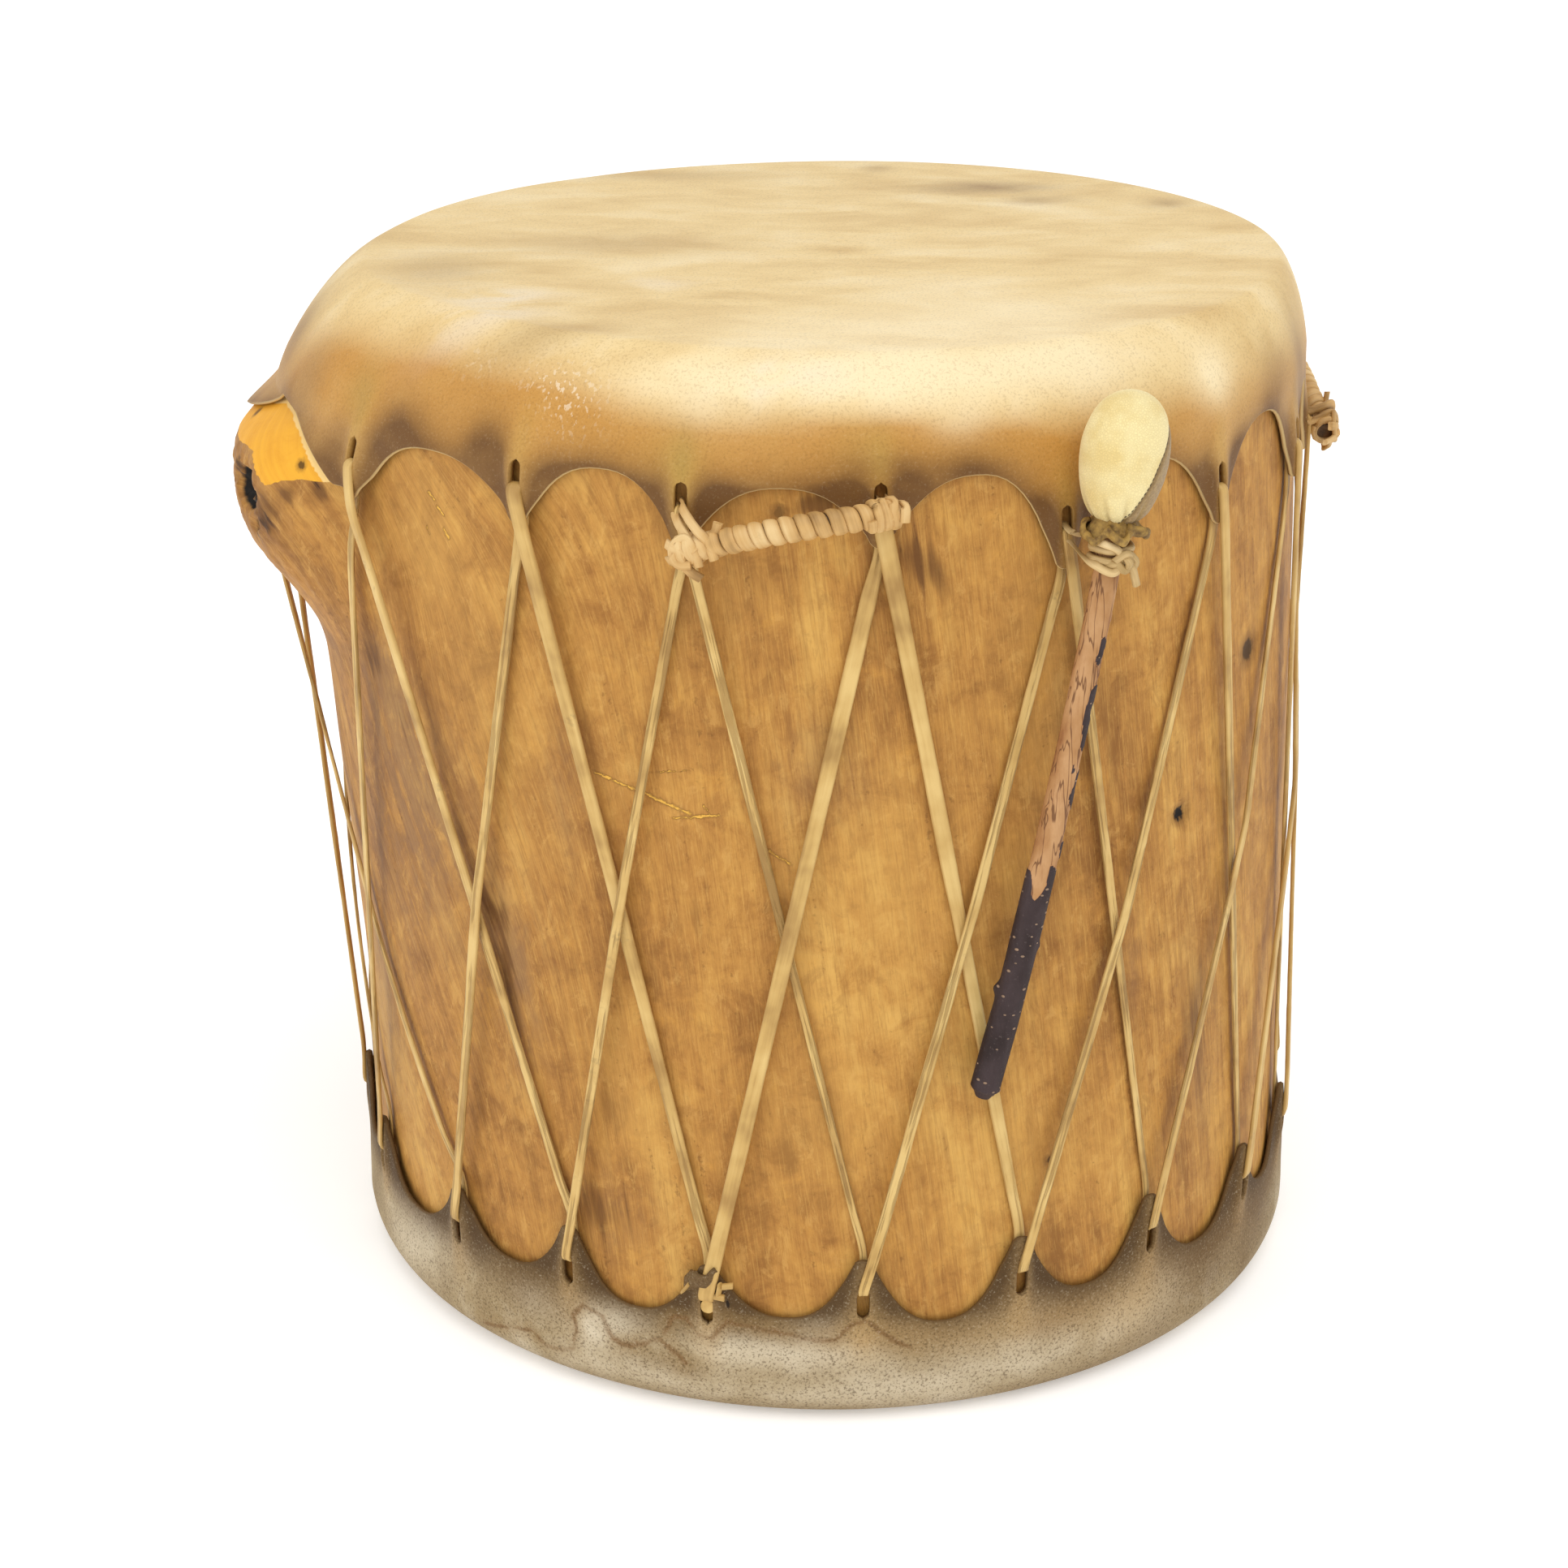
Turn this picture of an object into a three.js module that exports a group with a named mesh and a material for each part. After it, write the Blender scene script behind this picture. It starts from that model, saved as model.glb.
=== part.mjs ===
// A hollow-log drum: a log shell with a branch knob, a rawhide head over each end, two thongs that lace
// the heads to each other, two wrapped grips, and a padded beater tied to one tab of the upper head.
// Millimetres, +Z up, the front towards -Y, the origin at the centre of the underside.
import * as THREE from 'three';

const DEG = Math.PI / 180;

// The drum as a whole
const HEIGHT = 480;
const FOOT_RADIUS = 229.5;
const RIM_RADIUS = 215.4;
const BORE_RADIUS = 184;
const HIDE = 2.4;
const FIT = 0.4;
const SKIRT_EASE = 1.1;

// The side that swells towards the knob, and the knob itself
const SWELL_ANGLE = -89 * DEG;
const SWELL_OUT = 28.5;
const KNOB = {
  angle: -79.5 * DEG,
  height: 387.6,
  out: 34.8,
  spread: 16.4 * DEG,
  spreadBehind: 20.9 * DEG,
  rise: 33.3,
  fall: 52,
  power: 2.9,
};
const BACK_ANGLE = 180 * DEG;
const BACK_OUT = 3.3;

// Rounded ends of the log: how far in and how far down each rounding goes, and the power of its
// curve, which is 2 for an ellipse and less where the edge was cut nearly flat
const SHOULDER = { inward: 22.6, down: 40, power: 1.6 };
const SHOULDER_AT_SWELL = { inward: 16, down: 11.6, power: -0.3, angle: -73 * DEG };
const SHOULDER_TIGHT = { inward: -15.8, down: -1, power: 0, angle: 126 * DEG };
const FOOT = { inward: 12, up: 14 };
const SKIRT_TOP = 438;
const SHOULDER_ROWS = 3;

// Lacing tabs: the angle from the front and the height of the tip of each tab that was cut by eye,
// in order; the rest of the tabs share the space behind evenly
const TAB_COUNT = 18;
const UPPER_TABS = [
  [-98, 400],
  [-58, 400],
  [-35, 407],
  [-16.5, 405],
  [4.5, 406],
  [25.3, 391],
  [48, 394.5],
  [69, 395],
  [86.5, 389],
];
const LOWER_TABS = [
  [-86, 78],
  [-68.5, 77],
  [-48.5, 76],
  [-31, 81],
  [-14, 76],
  [3.3, 82],
  [21.4, 85],
  [39, 86.5],
  [57.7, 82.5],
  [73, 86],
];
const UPPER_ARCH = 432;
const LOWER_ARCH = 50;
// the arch over the knob peaks nearer the front, and its far side comes down early
const KNOB_ARCH = { height: 428, peak: 0.24, behind: 0.65, ahead: 2.7 };
const TAB_HALF = 1.15 * DEG;
const ARCH_POWER = 2.5;
const BAR = 13.5;
const SLOT = 15;

// The thongs
const LACE_WIDTH = 7;
const LACE_THICK = 2;
const KNOT_WIDTH = 11;
const KNOT_THICK = 4.6;
const TAB_GAP = LACE_THICK + 2 * FIT;

// Grips: the bar hangs in front of the hide between two neighbouring slots
const GRIP_RADIUS = 5.6;
const GRIP_CORD = 1.8;
const GRIP_STANDOFF = 14.6;
const GRIP_BOW = 4.5;

// The beater: heights along its length, the angle and the reach from the drum's axis at each
const STICK_RADIUS = 6.2;
const STICK_TOP = { angle: 27.8 * DEG, reach: 238.5, z: 405 };
const STICK_BEND = { angle: 22.4 * DEG, reach: 236, z: 269 };
const STICK_END = { angle: 16 * DEG, reach: 233.4, z: 164 };
const PAD_RADIUS = 20.2;
const PAD_HEIGHT = 56.5;
const PAD_TOP = { angle: 28.8 * DEG, reach: 240.2, z: 471 };
const FRILL_RADIUS = 12.5;
const FRILL_HEIGHT = 8;
const TIE_RADIUS = 1.9;

const WOOD_TOP = HEIGHT - HIDE - FIT;
const WOOD_BOTTOM = HIDE + FIT;

const clamp = (v) => Math.min(1, Math.max(0, v));
const lerp = (a, b, t) => a + (b - a) * t;

function smooth(from, to, v) {
  const t = clamp((v - from) / (to - from));
  return t * t * (3 - 2 * t);
}

function polar(angle, reach, z) {
  return new THREE.Vector3(reach * Math.sin(angle), -reach * Math.cos(angle), z);
}

function turn(angle) {
  return Math.atan2(Math.sin(angle), Math.cos(angle));
}

// How much of the left swelling and of the fuller back an angle has
function swell(angle) {
  return Math.max(0, Math.cos(angle - SWELL_ANGLE)) ** 2;
}

function rear(angle) {
  return Math.max(0, Math.cos(angle - BACK_ANGLE)) ** 2;
}

function shoulderSize(angle, way) {
  const swelled = Math.max(0, Math.cos(angle - SHOULDER_AT_SWELL.angle)) ** 2;
  const tight = Math.max(0, Math.cos(angle - SHOULDER_TIGHT.angle));
  return SHOULDER[way] + SHOULDER_AT_SWELL[way] * swelled + SHOULDER_TIGHT[way] * tight;
}

// Side of the log before its ends are rounded
function sideRadius(angle, z) {
  const t = clamp(z / HEIGHT);
  const taper = lerp(FOOT_RADIUS, RIM_RADIUS, t) - HIDE - FIT;
  const grown = SWELL_OUT * swell(angle) * smooth(0.08 * HEIGHT, 0.92 * HEIGHT, z);
  const dz = z - KNOB.height;
  const aside = turn(angle - KNOB.angle);
  const across = Math.abs(aside) / (aside > 0 ? KNOB.spread : KNOB.spreadBehind);
  const along = Math.abs(dz) / (dz > 0 ? KNOB.rise : KNOB.fall);
  const knob = KNOB.out * Math.exp(-(across ** KNOB.power) - along ** KNOB.power);
  return taper + grown + knob + BACK_OUT * rear(angle);
}

// A point of the log's skin, moved out by a gap square to it; beta runs over the rounded shoulder
function shoulderPoint(angle, beta, gap) {
  const inward = shoulderSize(angle, 'inward');
  const down = shoulderSize(angle, 'down');
  const start = WOOD_TOP - down;
  const bend = 2 / shoulderSize(angle, 'power');
  const across = Math.max(0, Math.cos(beta)) ** bend;
  const reach = sideRadius(angle, start) - inward + (inward + gap) * across;
  return polar(angle, reach, start + (down + gap) * Math.sin(beta) ** bend);
}

// How far round the shoulder a share of the way from the skirt to the flat top is
function shoulderTurn(angle, share) {
  const down = shoulderSize(angle, 'down');
  const bend = 2 / shoulderSize(angle, 'power');
  const first = Math.asin(clamp((SKIRT_TOP - WOOD_TOP + down) / down) ** (1 / bend));
  return lerp(first, 0.5 * Math.PI, share);
}

function footPoint(angle, beta, gap) {
  const start = WOOD_BOTTOM + FOOT.up;
  const reach = sideRadius(angle, start) - FOOT.inward + (FOOT.inward + gap) * Math.cos(beta);
  return polar(angle, reach, start - (FOOT.up + gap) * Math.sin(beta));
}

// Radius of the log's skin at a height, shoulder included
function woodRadius(angle, z) {
  const down = shoulderSize(angle, 'down');
  const start = WOOD_TOP - down;
  if (z <= start) {
    return sideRadius(angle, z);
  }
  const power = shoulderSize(angle, 'power');
  const across = (1 - clamp((z - start) / down) ** power) ** (1 / power);
  return sideRadius(angle, start) - shoulderSize(angle, 'inward') * (1 - across);
}

// Radius that clears the wood over a strip as wide as a tab
function stripRadius(angle, z) {
  return Math.max(
    woodRadius(angle - TAB_HALF, z),
    woodRadius(angle, z),
    woodRadius(angle + TAB_HALF, z),
  );
}

function bodyOf(points, faces) {
  const position = new Float32Array(points.length * 3);
  points.forEach((p, i) => p.toArray(position, i * 3));
  const geometry = new THREE.BufferGeometry();
  geometry.setAttribute('position', new THREE.BufferAttribute(position, 3));
  geometry.setIndex(faces.flat());
  return geometry;
}

// A closed ring of closed sections, all with the same number of points
function ringOfSections(sections) {
  const rows = sections[0].length;
  const faces = [];
  sections.forEach((_, c) => {
    const a = c * rows;
    const b = ((c + 1) % sections.length) * rows;
    for (let r = 0; r < rows; r++) {
      const s = (r + 1) % rows;
      faces.push([a + r, b + r, b + s], [a + r, b + s, a + s]);
    }
  });
  return bodyOf(sections.flat(), faces);
}

// A run of closed sections with a fan over each end
function runOfSections(sections) {
  const rows = sections[0].length;
  const faces = [];
  for (let c = 0; c + 1 < sections.length; c++) {
    for (let r = 0; r < rows; r++) {
      const s = (r + 1) % rows;
      const a = c * rows;
      const b = a + rows;
      faces.push([a + r, b + s, b + r], [a + r, a + s, b + s]);
    }
  }
  const points = sections.flat();
  const first = centreOf(sections[0]);
  const last = centreOf(sections[sections.length - 1]);
  const start = points.push(first) - 1;
  const end = points.push(last) - 1;
  const tail = (sections.length - 1) * rows;
  for (let r = 0; r < rows; r++) {
    const s = (r + 1) % rows;
    faces.push([start, s, r], [end, tail + r, tail + s]);
  }
  return bodyOf(points, faces);
}

function centreOf(section) {
  const sum = section.reduce((total, p) => total.add(p), new THREE.Vector3());
  return sum.divideScalar(section.length);
}

function shellBody() {
  const columns = 50;
  const sideRows = 10;
  const sections = [];
  for (let c = 0; c < columns; c++) {
    // columns stand closer together round the knob
    const even = (c / columns) * 2 * Math.PI;
    const angle = even - 0.5 * Math.sin(even - KNOB.angle);
    const section = [polar(angle, BORE_RADIUS, WOOD_BOTTOM)];
    for (let k = 2; k >= 0; k--) {
      section.push(footPoint(angle, (k / 2) * 0.5 * Math.PI, 0));
    }
    const low = WOOD_BOTTOM + FOOT.up;
    for (let r = 1; r < sideRows; r++) {
      const z = lerp(low, SKIRT_TOP, 1 - (1 - r / sideRows) ** 1.5);
      section.push(polar(angle, woodRadius(angle, z), z));
    }
    for (let k = 0; k <= SHOULDER_ROWS; k++) {
      section.push(shoulderPoint(angle, shoulderTurn(angle, k / SHOULDER_ROWS), 0));
    }
    section.push(polar(angle, BORE_RADIUS, WOOD_TOP));
    sections.push(section);
  }
  return ringOfSections(sections);
}

// One tab: its angle, its tip, and the two ends of its slot; point is -1 for a tab that points down
function tabAt(angle, tip, point) {
  return {
    angle,
    tip,
    point,
    slotNear: tip - point * BAR,
    slotFar: tip - point * (BAR + SLOT),
  };
}

function tabsOf(cut, point, tip) {
  const tabs = cut.map(([degrees, height]) => tabAt(degrees * DEG, height, point));
  const last = cut[cut.length - 1][0];
  const gap = (cut[0][0] + 360 - last) / (TAB_COUNT - cut.length + 1);
  for (let i = cut.length; i < TAB_COUNT; i++) {
    const degrees = last + gap * (i - cut.length + 1);
    tabs.push(tabAt(degrees * DEG, tip + 4 * Math.sin(2.4 * i), point));
  }
  return tabs;
}

const upperTabs = tabsOf(UPPER_TABS, -1, 400);
const lowerTabs = tabsOf(LOWER_TABS, 1, 80);

// How far the hide's skirt stands off the wood, a little more where the wood swells
function skirtEase(angle) {
  return SKIRT_EASE + 0.9 * swell(angle);
}

// How far the hide stands off the wood: tight at the rim, open behind a tab for the thong
function hideGap(angle, z, tab) {
  if (!tab) {
    return skirtEase(angle);
  }
  const reach = clamp((z - tab.slotFar) / (tab.slotNear - tab.slotFar));
  return lerp(2, TAB_GAP, reach);
}

// Height of a skirt's edge along an arch: place runs from -1 at one tab to 1 at the next
function upperEdge(arch, place, tip) {
  if (arch > 0) {
    return lerp(UPPER_ARCH, tip, Math.abs(place) ** ARCH_POWER);
  }
  const { height, peak, behind, ahead } = KNOB_ARCH;
  const share = place < peak ? ((peak - place) / (1 + peak)) ** behind : ((place - peak) / (1 - peak)) ** ahead;
  return lerp(height, tip, share);
}

function lowerEdge(arch, place, tip) {
  return lerp(LOWER_ARCH, tip, Math.abs(place) ** ARCH_POWER);
}

// Columns of a hide's skirt: two at each tab and some along each arch between tabs
function skirtColumns(tabs, archEdge) {
  const columns = [];
  tabs.forEach((tab, i) => {
    const next = tabs[(i + 1) % tabs.length];
    const from = tab.angle + TAB_HALF;
    const to = next.angle - TAB_HALF + (i + 1 === tabs.length ? 2 * Math.PI : 0);
    columns.push({ angle: tab.angle - TAB_HALF, edge: tab.tip, tab, slot: true });
    columns.push({ angle: from, edge: tab.tip, tab, slot: false });
    const steps = Math.max(4, Math.round((to - from) / (4.2 * DEG)));
    for (let k = 1; k < steps; k++) {
      const u = 2 * (k / steps) - 1;
      const spread = Math.sign(u) * Math.abs(u) ** 0.75;
      const tip = lerp(tab.tip, next.tip, (spread + 1) / 2);
      const edge = archEdge(i, spread, tip);
      columns.push({ angle: lerp(from, to, (spread + 1) / 2), edge, tab: null, slot: false });
    }
  });
  return columns;
}

// The hide's outer and inner points down one column, from the rim to its edge
function hideRows(column, shoulderRow, shoulderRows, skirtTop) {
  const heights = column.tab
    ? [skirtTop, column.tab.slotFar, column.tab.slotNear, column.tab.tip]
    : [0, 1, 2, 3].map((k) => lerp(skirtTop, column.edge, k / 3));
  const side = (thick) => {
    const rows = [];
    for (let k = shoulderRows; k >= 1; k--) {
      rows.push(shoulderRow(column.angle, k / shoulderRows, skirtEase(column.angle), thick));
    }
    heights.forEach((z, k) => {
      const gap = k === 0 ? skirtEase(column.angle) : hideGap(column.angle, z, column.tab);
      const wood = column.tab && k > 0 ? stripRadius(column.tab.angle, z) : woodRadius(column.angle, z);
      rows.push(polar(column.angle, wood + gap + thick, z));
    });
    return rows;
  };
  return { outer: side(HIDE), inner: side(0) };
}

// A head: a flat membrane, a rounded shoulder and a scalloped skirt with a slot in every tab
function headBody(columns, rowAt, shoulderRows, skirtTop, outerZ, innerZ, facesUp) {
  const made = columns.map((column) => hideRows(column, rowAt, shoulderRows, skirtTop));
  const rows = made[0].outer.length;
  const count = columns.length;
  const points = [];
  made.forEach(({ outer, inner }) => points.push(...outer, ...inner));
  const outerPole = points.push(new THREE.Vector3(0, 0, outerZ)) - 1;
  const innerPole = points.push(new THREE.Vector3(0, 0, innerZ)) - 1;
  const at = (c, r, inside) => (c % count) * rows * 2 + (inside ? rows : 0) + r;
  const faces = [];
  const quad = (a, b, c, d) => faces.push([a, b, c], [a, c, d]);
  columns.forEach((column, c) => {
    const n = c + 1;
    faces.push([outerPole, at(c, 0, false), at(n, 0, false)]);
    faces.push([innerPole, at(n, 0, true), at(c, 0, true)]);
    for (let r = 0; r + 1 < rows; r++) {
      if (column.slot && r === rows - 3) {
        const loop = [[c, r], [n, r], [n, r + 1], [c, r + 1]];
        loop.forEach(([i, j], k) => {
          const [p, q] = loop[(k + 1) % 4];
          quad(at(i, j, false), at(i, j, true), at(p, q, true), at(p, q, false));
        });
        continue;
      }
      quad(at(c, r, false), at(c, r + 1, false), at(n, r + 1, false), at(n, r, false));
      quad(at(c, r, true), at(n, r, true), at(n, r + 1, true), at(c, r + 1, true));
    }
    const e = rows - 1;
    quad(at(c, e, false), at(c, e, true), at(n, e, true), at(n, e, false));
  });
  const facing = facesUp ? faces : faces.map(([a, b, c]) => [a, c, b]);
  return bodyOf(points, facing);
}

function upperHeadBody() {
  const rowAt = (angle, share, gap, thick) => {
    const beta = shoulderTurn(angle, share);
    // the gap closes from the skirt to the rim, where the membrane lies on the log's end
    return shoulderPoint(angle, beta, lerp(gap, FIT, share) + thick);
  };
  const columns = skirtColumns(upperTabs, upperEdge);
  return headBody(columns, rowAt, SHOULDER_ROWS, SKIRT_TOP, HEIGHT, HEIGHT - HIDE, true);
}

function lowerHeadBody() {
  const rowAt = (angle, share, gap, thick) => {
    return footPoint(angle, share * 0.5 * Math.PI, lerp(gap, FIT, share) + thick);
  };
  const columns = skirtColumns(lowerTabs, lowerEdge);
  return headBody(columns, rowAt, 2, WOOD_BOTTOM + FOOT.up, 0, HIDE, false);
}

// Where a thong passes a tab: behind it, round the end of its slot, and over its face
function laceThroughTab(tab) {
  const near = stripRadius(tab.angle, tab.slotNear);
  const tip = stripRadius(tab.angle, tab.tip);
  const behind = FIT + LACE_THICK / 2;
  const over = TAB_GAP + HIDE + FIT + LACE_THICK / 2;
  const middle = near + (behind + over) / 2;
  const bend = (over - behind) / 2;
  const stations = [
    polar(tab.angle, tip + behind, tab.tip + tab.point * 3),
  ];
  for (let k = 0; k <= 2; k++) {
    const beta = (k / 2) * Math.PI;
    const z = tab.slotNear - tab.point * bend * Math.sin(beta);
    stations.push(polar(tab.angle, middle - bend * Math.cos(beta), z));
  }
  return stations;
}

// Where a thong that leaves over a tab's face clears the tip, on its way to the far tab
function laceOffTab(tab, far) {
  const run = Math.abs(far.tip - tab.slotNear);
  const lean = turn(far.angle - tab.angle) * ((BAR + 3) / run);
  const drift = Math.min(TAB_HALF, Math.max(-TAB_HALF, lean));
  const tip = Math.max(stripRadius(tab.angle, tab.tip), stripRadius(tab.angle + drift, tab.tip));
  const over = TAB_GAP + HIDE + FIT + LACE_THICK / 2;
  return polar(tab.angle + drift, tip + over, tab.tip + tab.point * 3);
}

// A thong pulled tight between two points: it runs straight, except where the floor holds it out
function tautSpan(start, end, stops, floorAt) {
  const from = Math.atan2(start.x, -start.y);
  const swing = turn(Math.atan2(end.x, -end.y) - from);
  const reach = Math.hypot(start.x, start.y);
  const points = stops.map((t) => polar(from + swing * t, reach, lerp(start.z, end.z, t)));
  const run = [start, ...points, end];
  const share = [0, ...stops, 1];
  for (let pass = 0; pass < 240; pass++) {
    for (let k = 1; k + 1 < run.length; k++) {
      const t = (share[k] - share[k - 1]) / (share[k + 1] - share[k - 1]);
      run[k].lerpVectors(run[k - 1], run[k + 1], t);
      const floor = floorAt(Math.atan2(run[k].x, -run[k].y), run[k].z, share[k]);
      const out = Math.hypot(run[k].x, run[k].y);
      if (out < floor) {
        run[k].x *= floor / out;
        run[k].y *= floor / out;
      }
    }
  }
  return points;
}

function evenStops(count) {
  return Array.from({ length: count }, (_, k) => (k + 1) / (count + 1));
}

// Least radius of a thong's middle, a little more where the wood swells
function laceFloor(angle, z) {
  return stripRadius(angle, z) + FIT + LACE_THICK / 2 + 0.2 + 1.1 * swell(angle);
}

// A thong runs from a tab above down to the lower tab two places on, and from a tab below up to the
// upper tab of its own place; the spans that lean up to the right lie over the others
function spansOfLacing() {
  const spans = upperTabs.map((upper, i) => {
    const lower = lowerTabs[(i + 2) % TAB_COUNT];
    const from = laceOffTab(upper, lower);
    const to = laceThroughTab(lower)[0];
    const width = Math.abs(turn(lower.angle - upper.angle));
    const stops = evenStops(Math.max(4, Math.round(width / (4.6 * DEG))));
    return { under: [from, ...tautSpan(from, to, stops, laceFloor)], to };
  });
  lowerTabs.forEach((lower, j) => {
    const upper = upperTabs[j];
    const before = (j + TAB_COUNT - 1) % TAB_COUNT;
    const gapAbove = turn(upper.angle - upperTabs[before].angle);
    const gapBelow = turn(lowerTabs[(j + 1) % TAB_COUNT].angle - lower.angle);
    const cross = 1 - gapAbove / (gapAbove + gapBelow);
    const from = laceOffTab(lower, upper);
    const to = laceThroughTab(upper)[0];
    const below = [...spans[before].under, spans[before].to];
    const floorAt = (angle, z) => Math.max(laceFloor(angle, z), heightOver(below, angle, z));
    const stops = [0.45 * cross, cross - 0.06, cross, cross + 0.06, cross + 0.55 * (1 - cross)];
    if (swell(upper.angle) > 0.3) {
      stops.splice(4, 1, cross + 0.3 * (1 - cross), cross + 0.55 * (1 - cross), cross + 0.8 * (1 - cross));
    }
    spans[j].over = [from, ...tautSpan(from, to, stops, floorAt)];
  });
  return spans;
}

// Radius at which one thong clears another that it lies on, or nothing where they are apart
function heightOver(below, angle, z) {
  for (let k = 0; k + 1 < below.length; k++) {
    const [a, b] = [below[k], below[k + 1]];
    if ((z - a.z) * (z - b.z) <= 0) {
      const spot = a.clone().lerp(b, (z - a.z) / (b.z - a.z));
      const apart = Math.abs(turn(Math.atan2(spot.x, -spot.y) - angle)) * FOOT_RADIUS;
      const held = Math.hypot(spot.x, spot.y) + LACE_THICK + FIT + 0.2;
      return apart < 1.9 * LACE_WIDTH ? held : 0;
    }
  }
  return 0;
}

const spans = spansOfLacing();

// One thong: every second tab above and every second tab below, closed by a knot over one lower tab
function laceBody(firstUpper) {
  const stations = [];
  for (let i = firstUpper; i < firstUpper + TAB_COUNT; i += 2) {
    const j = (i + 2) % TAB_COUNT;
    const pass = laceThroughTab(lowerTabs[j]);
    laceThroughTab(upperTabs[i % TAB_COUNT]).forEach((p) => stations.push({ p, knot: false }));
    spans[i % TAB_COUNT].under.forEach((p) => stations.push({ p, knot: false }));
    pass.forEach((p, k) => stations.push({ p, knot: i === firstUpper && k === pass.length - 1 }));
    spans[j].over.forEach((p) => stations.push({ p, knot: false }));
  }
  const sections = stations.map(({ p, knot }, k) => {
    const before = stations[(k + stations.length - 1) % stations.length].p;
    const after = stations[(k + 1) % stations.length].p;
    const along = after.clone().sub(p).normalize().add(p.clone().sub(before).normalize()).normalize();
    const across = new THREE.Vector3(-p.y, p.x, 0).normalize();
    across.addScaledVector(along, -across.dot(along)).normalize();
    const out = along.clone().cross(across);
    const half = (knot ? KNOT_WIDTH : LACE_WIDTH) / 2;
    const thick = (knot ? KNOT_THICK : LACE_THICK) / 2;
    // a knot grows outwards only, so that it doesn't press into the hide
    const lift = knot ? thick - LACE_THICK / 2 + FIT : 0;
    const away = Math.sign(out.dot(new THREE.Vector3(p.x, p.y, 0))) || 1;
    const centre = p.clone().addScaledVector(out, away * lift);
    return [[-1, -1], [1, -1], [1, 1], [-1, 1]].map(([a, b]) => {
      return centre.clone().addScaledVector(across, a * half).addScaledVector(out, b * thick);
    });
  });
  return ringOfSections(sections.map((section) => section.reverse()));
}

// A round rope or rod through the given points, each with its own radius
function rodBody(stations, sides, lobes = () => 1) {
  const sections = stations.map(({ p, radius }, k) => {
    const before = stations[Math.max(0, k - 1)].p;
    const after = stations[Math.min(stations.length - 1, k + 1)].p;
    const along = after.clone().sub(before).normalize();
    const side = new THREE.Vector3(p.x, p.y, 0).normalize();
    const across = along.clone().cross(Math.abs(side.dot(along)) > 0.9 ? new THREE.Vector3(0, 0, 1) : side);
    across.normalize();
    const out = across.clone().cross(along);
    return Array.from({ length: sides }, (_, s) => {
      const beta = (s / sides) * 2 * Math.PI;
      const reach = radius * lobes(k, beta);
      const spot = p.clone().addScaledVector(across, reach * Math.cos(beta));
      return spot.addScaledVector(out, -reach * Math.sin(beta));
    });
  });
  return runOfSections(sections);
}

function offWood(angle, z, gap) {
  return polar(angle, woodRadius(angle, z) + gap, z);
}

// A grip: its cord comes out of one slot, becomes the wrapped bar, and goes into the next slot
function gripBody(left, right) {
  const near = offWood(left.angle, left.slotFar - 4.5, 1.25);
  const inLeft = offWood(left.angle, left.slotFar - 4.5, 4);
  const inRight = offWood(right.angle, right.slotFar - 4.5, 4);
  const far = offWood(right.angle, right.slotFar - 4.5, 1.25);
  const stations = [
    { p: near, radius: 0.7 },
    { p: inLeft, radius: GRIP_CORD },
    { p: offWood(left.angle - 0.6 * DEG, left.slotFar - 7, 9.5), radius: GRIP_CORD },
    { p: offWood(left.angle - 0.8 * DEG, left.slotFar - 13.5, 13.2), radius: 3 },
  ];
  const start = left.angle + 0.4 * DEG;
  const finish = right.angle + 1.4 * DEG;
  const steps = 8;
  for (let k = 0; k <= steps; k++) {
    const t = k / steps;
    const angle = lerp(start, finish, t);
    const z = lerp(left.slotNear - 13, right.slotNear + 4, t) + 3.5 * Math.sin(Math.PI * t);
    const reach = lerp(woodRadius(start, 405), woodRadius(finish, 420), t);
    const bow = GRIP_STANDOFF + GRIP_BOW * Math.sin(Math.PI * t);
    stations.push({ p: polar(angle, reach + bow, z), radius: GRIP_RADIUS });
  }
  stations.push(
    { p: offWood(right.angle + 1.4 * DEG, right.slotFar - 6.5, 14), radius: 2.6 },
    { p: offWood(right.angle + 0.4 * DEG, right.slotFar - 4.6, 9), radius: GRIP_CORD },
    { p: inRight, radius: GRIP_CORD },
    { p: far, radius: 0.7 },
  );
  return rodBody(stations, 8);
}

const place = ({ angle, reach, z }) => polar(angle, reach, z);

function stickBody() {
  const curve = new THREE.QuadraticBezierCurve3(
    place(STICK_TOP),
    place(STICK_BEND),
    place(STICK_END),
  );
  const rings = 9;
  const stations = [];
  for (let k = 0; k <= rings; k++) {
    const t = k / rings;
    stations.push({ p: curve.getPoint(t), radius: STICK_RADIUS * lerp(0.94, 1.04, t) });
  }
  // the lower end is cut to a blunt point
  const tail = stations[rings].p.clone().sub(stations[rings - 1].p).normalize();
  stations.push({ p: stations[rings].p.clone().addScaledVector(tail, 4.5), radius: STICK_RADIUS * 0.6 });
  return rodBody(stations, 8);
}

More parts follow.
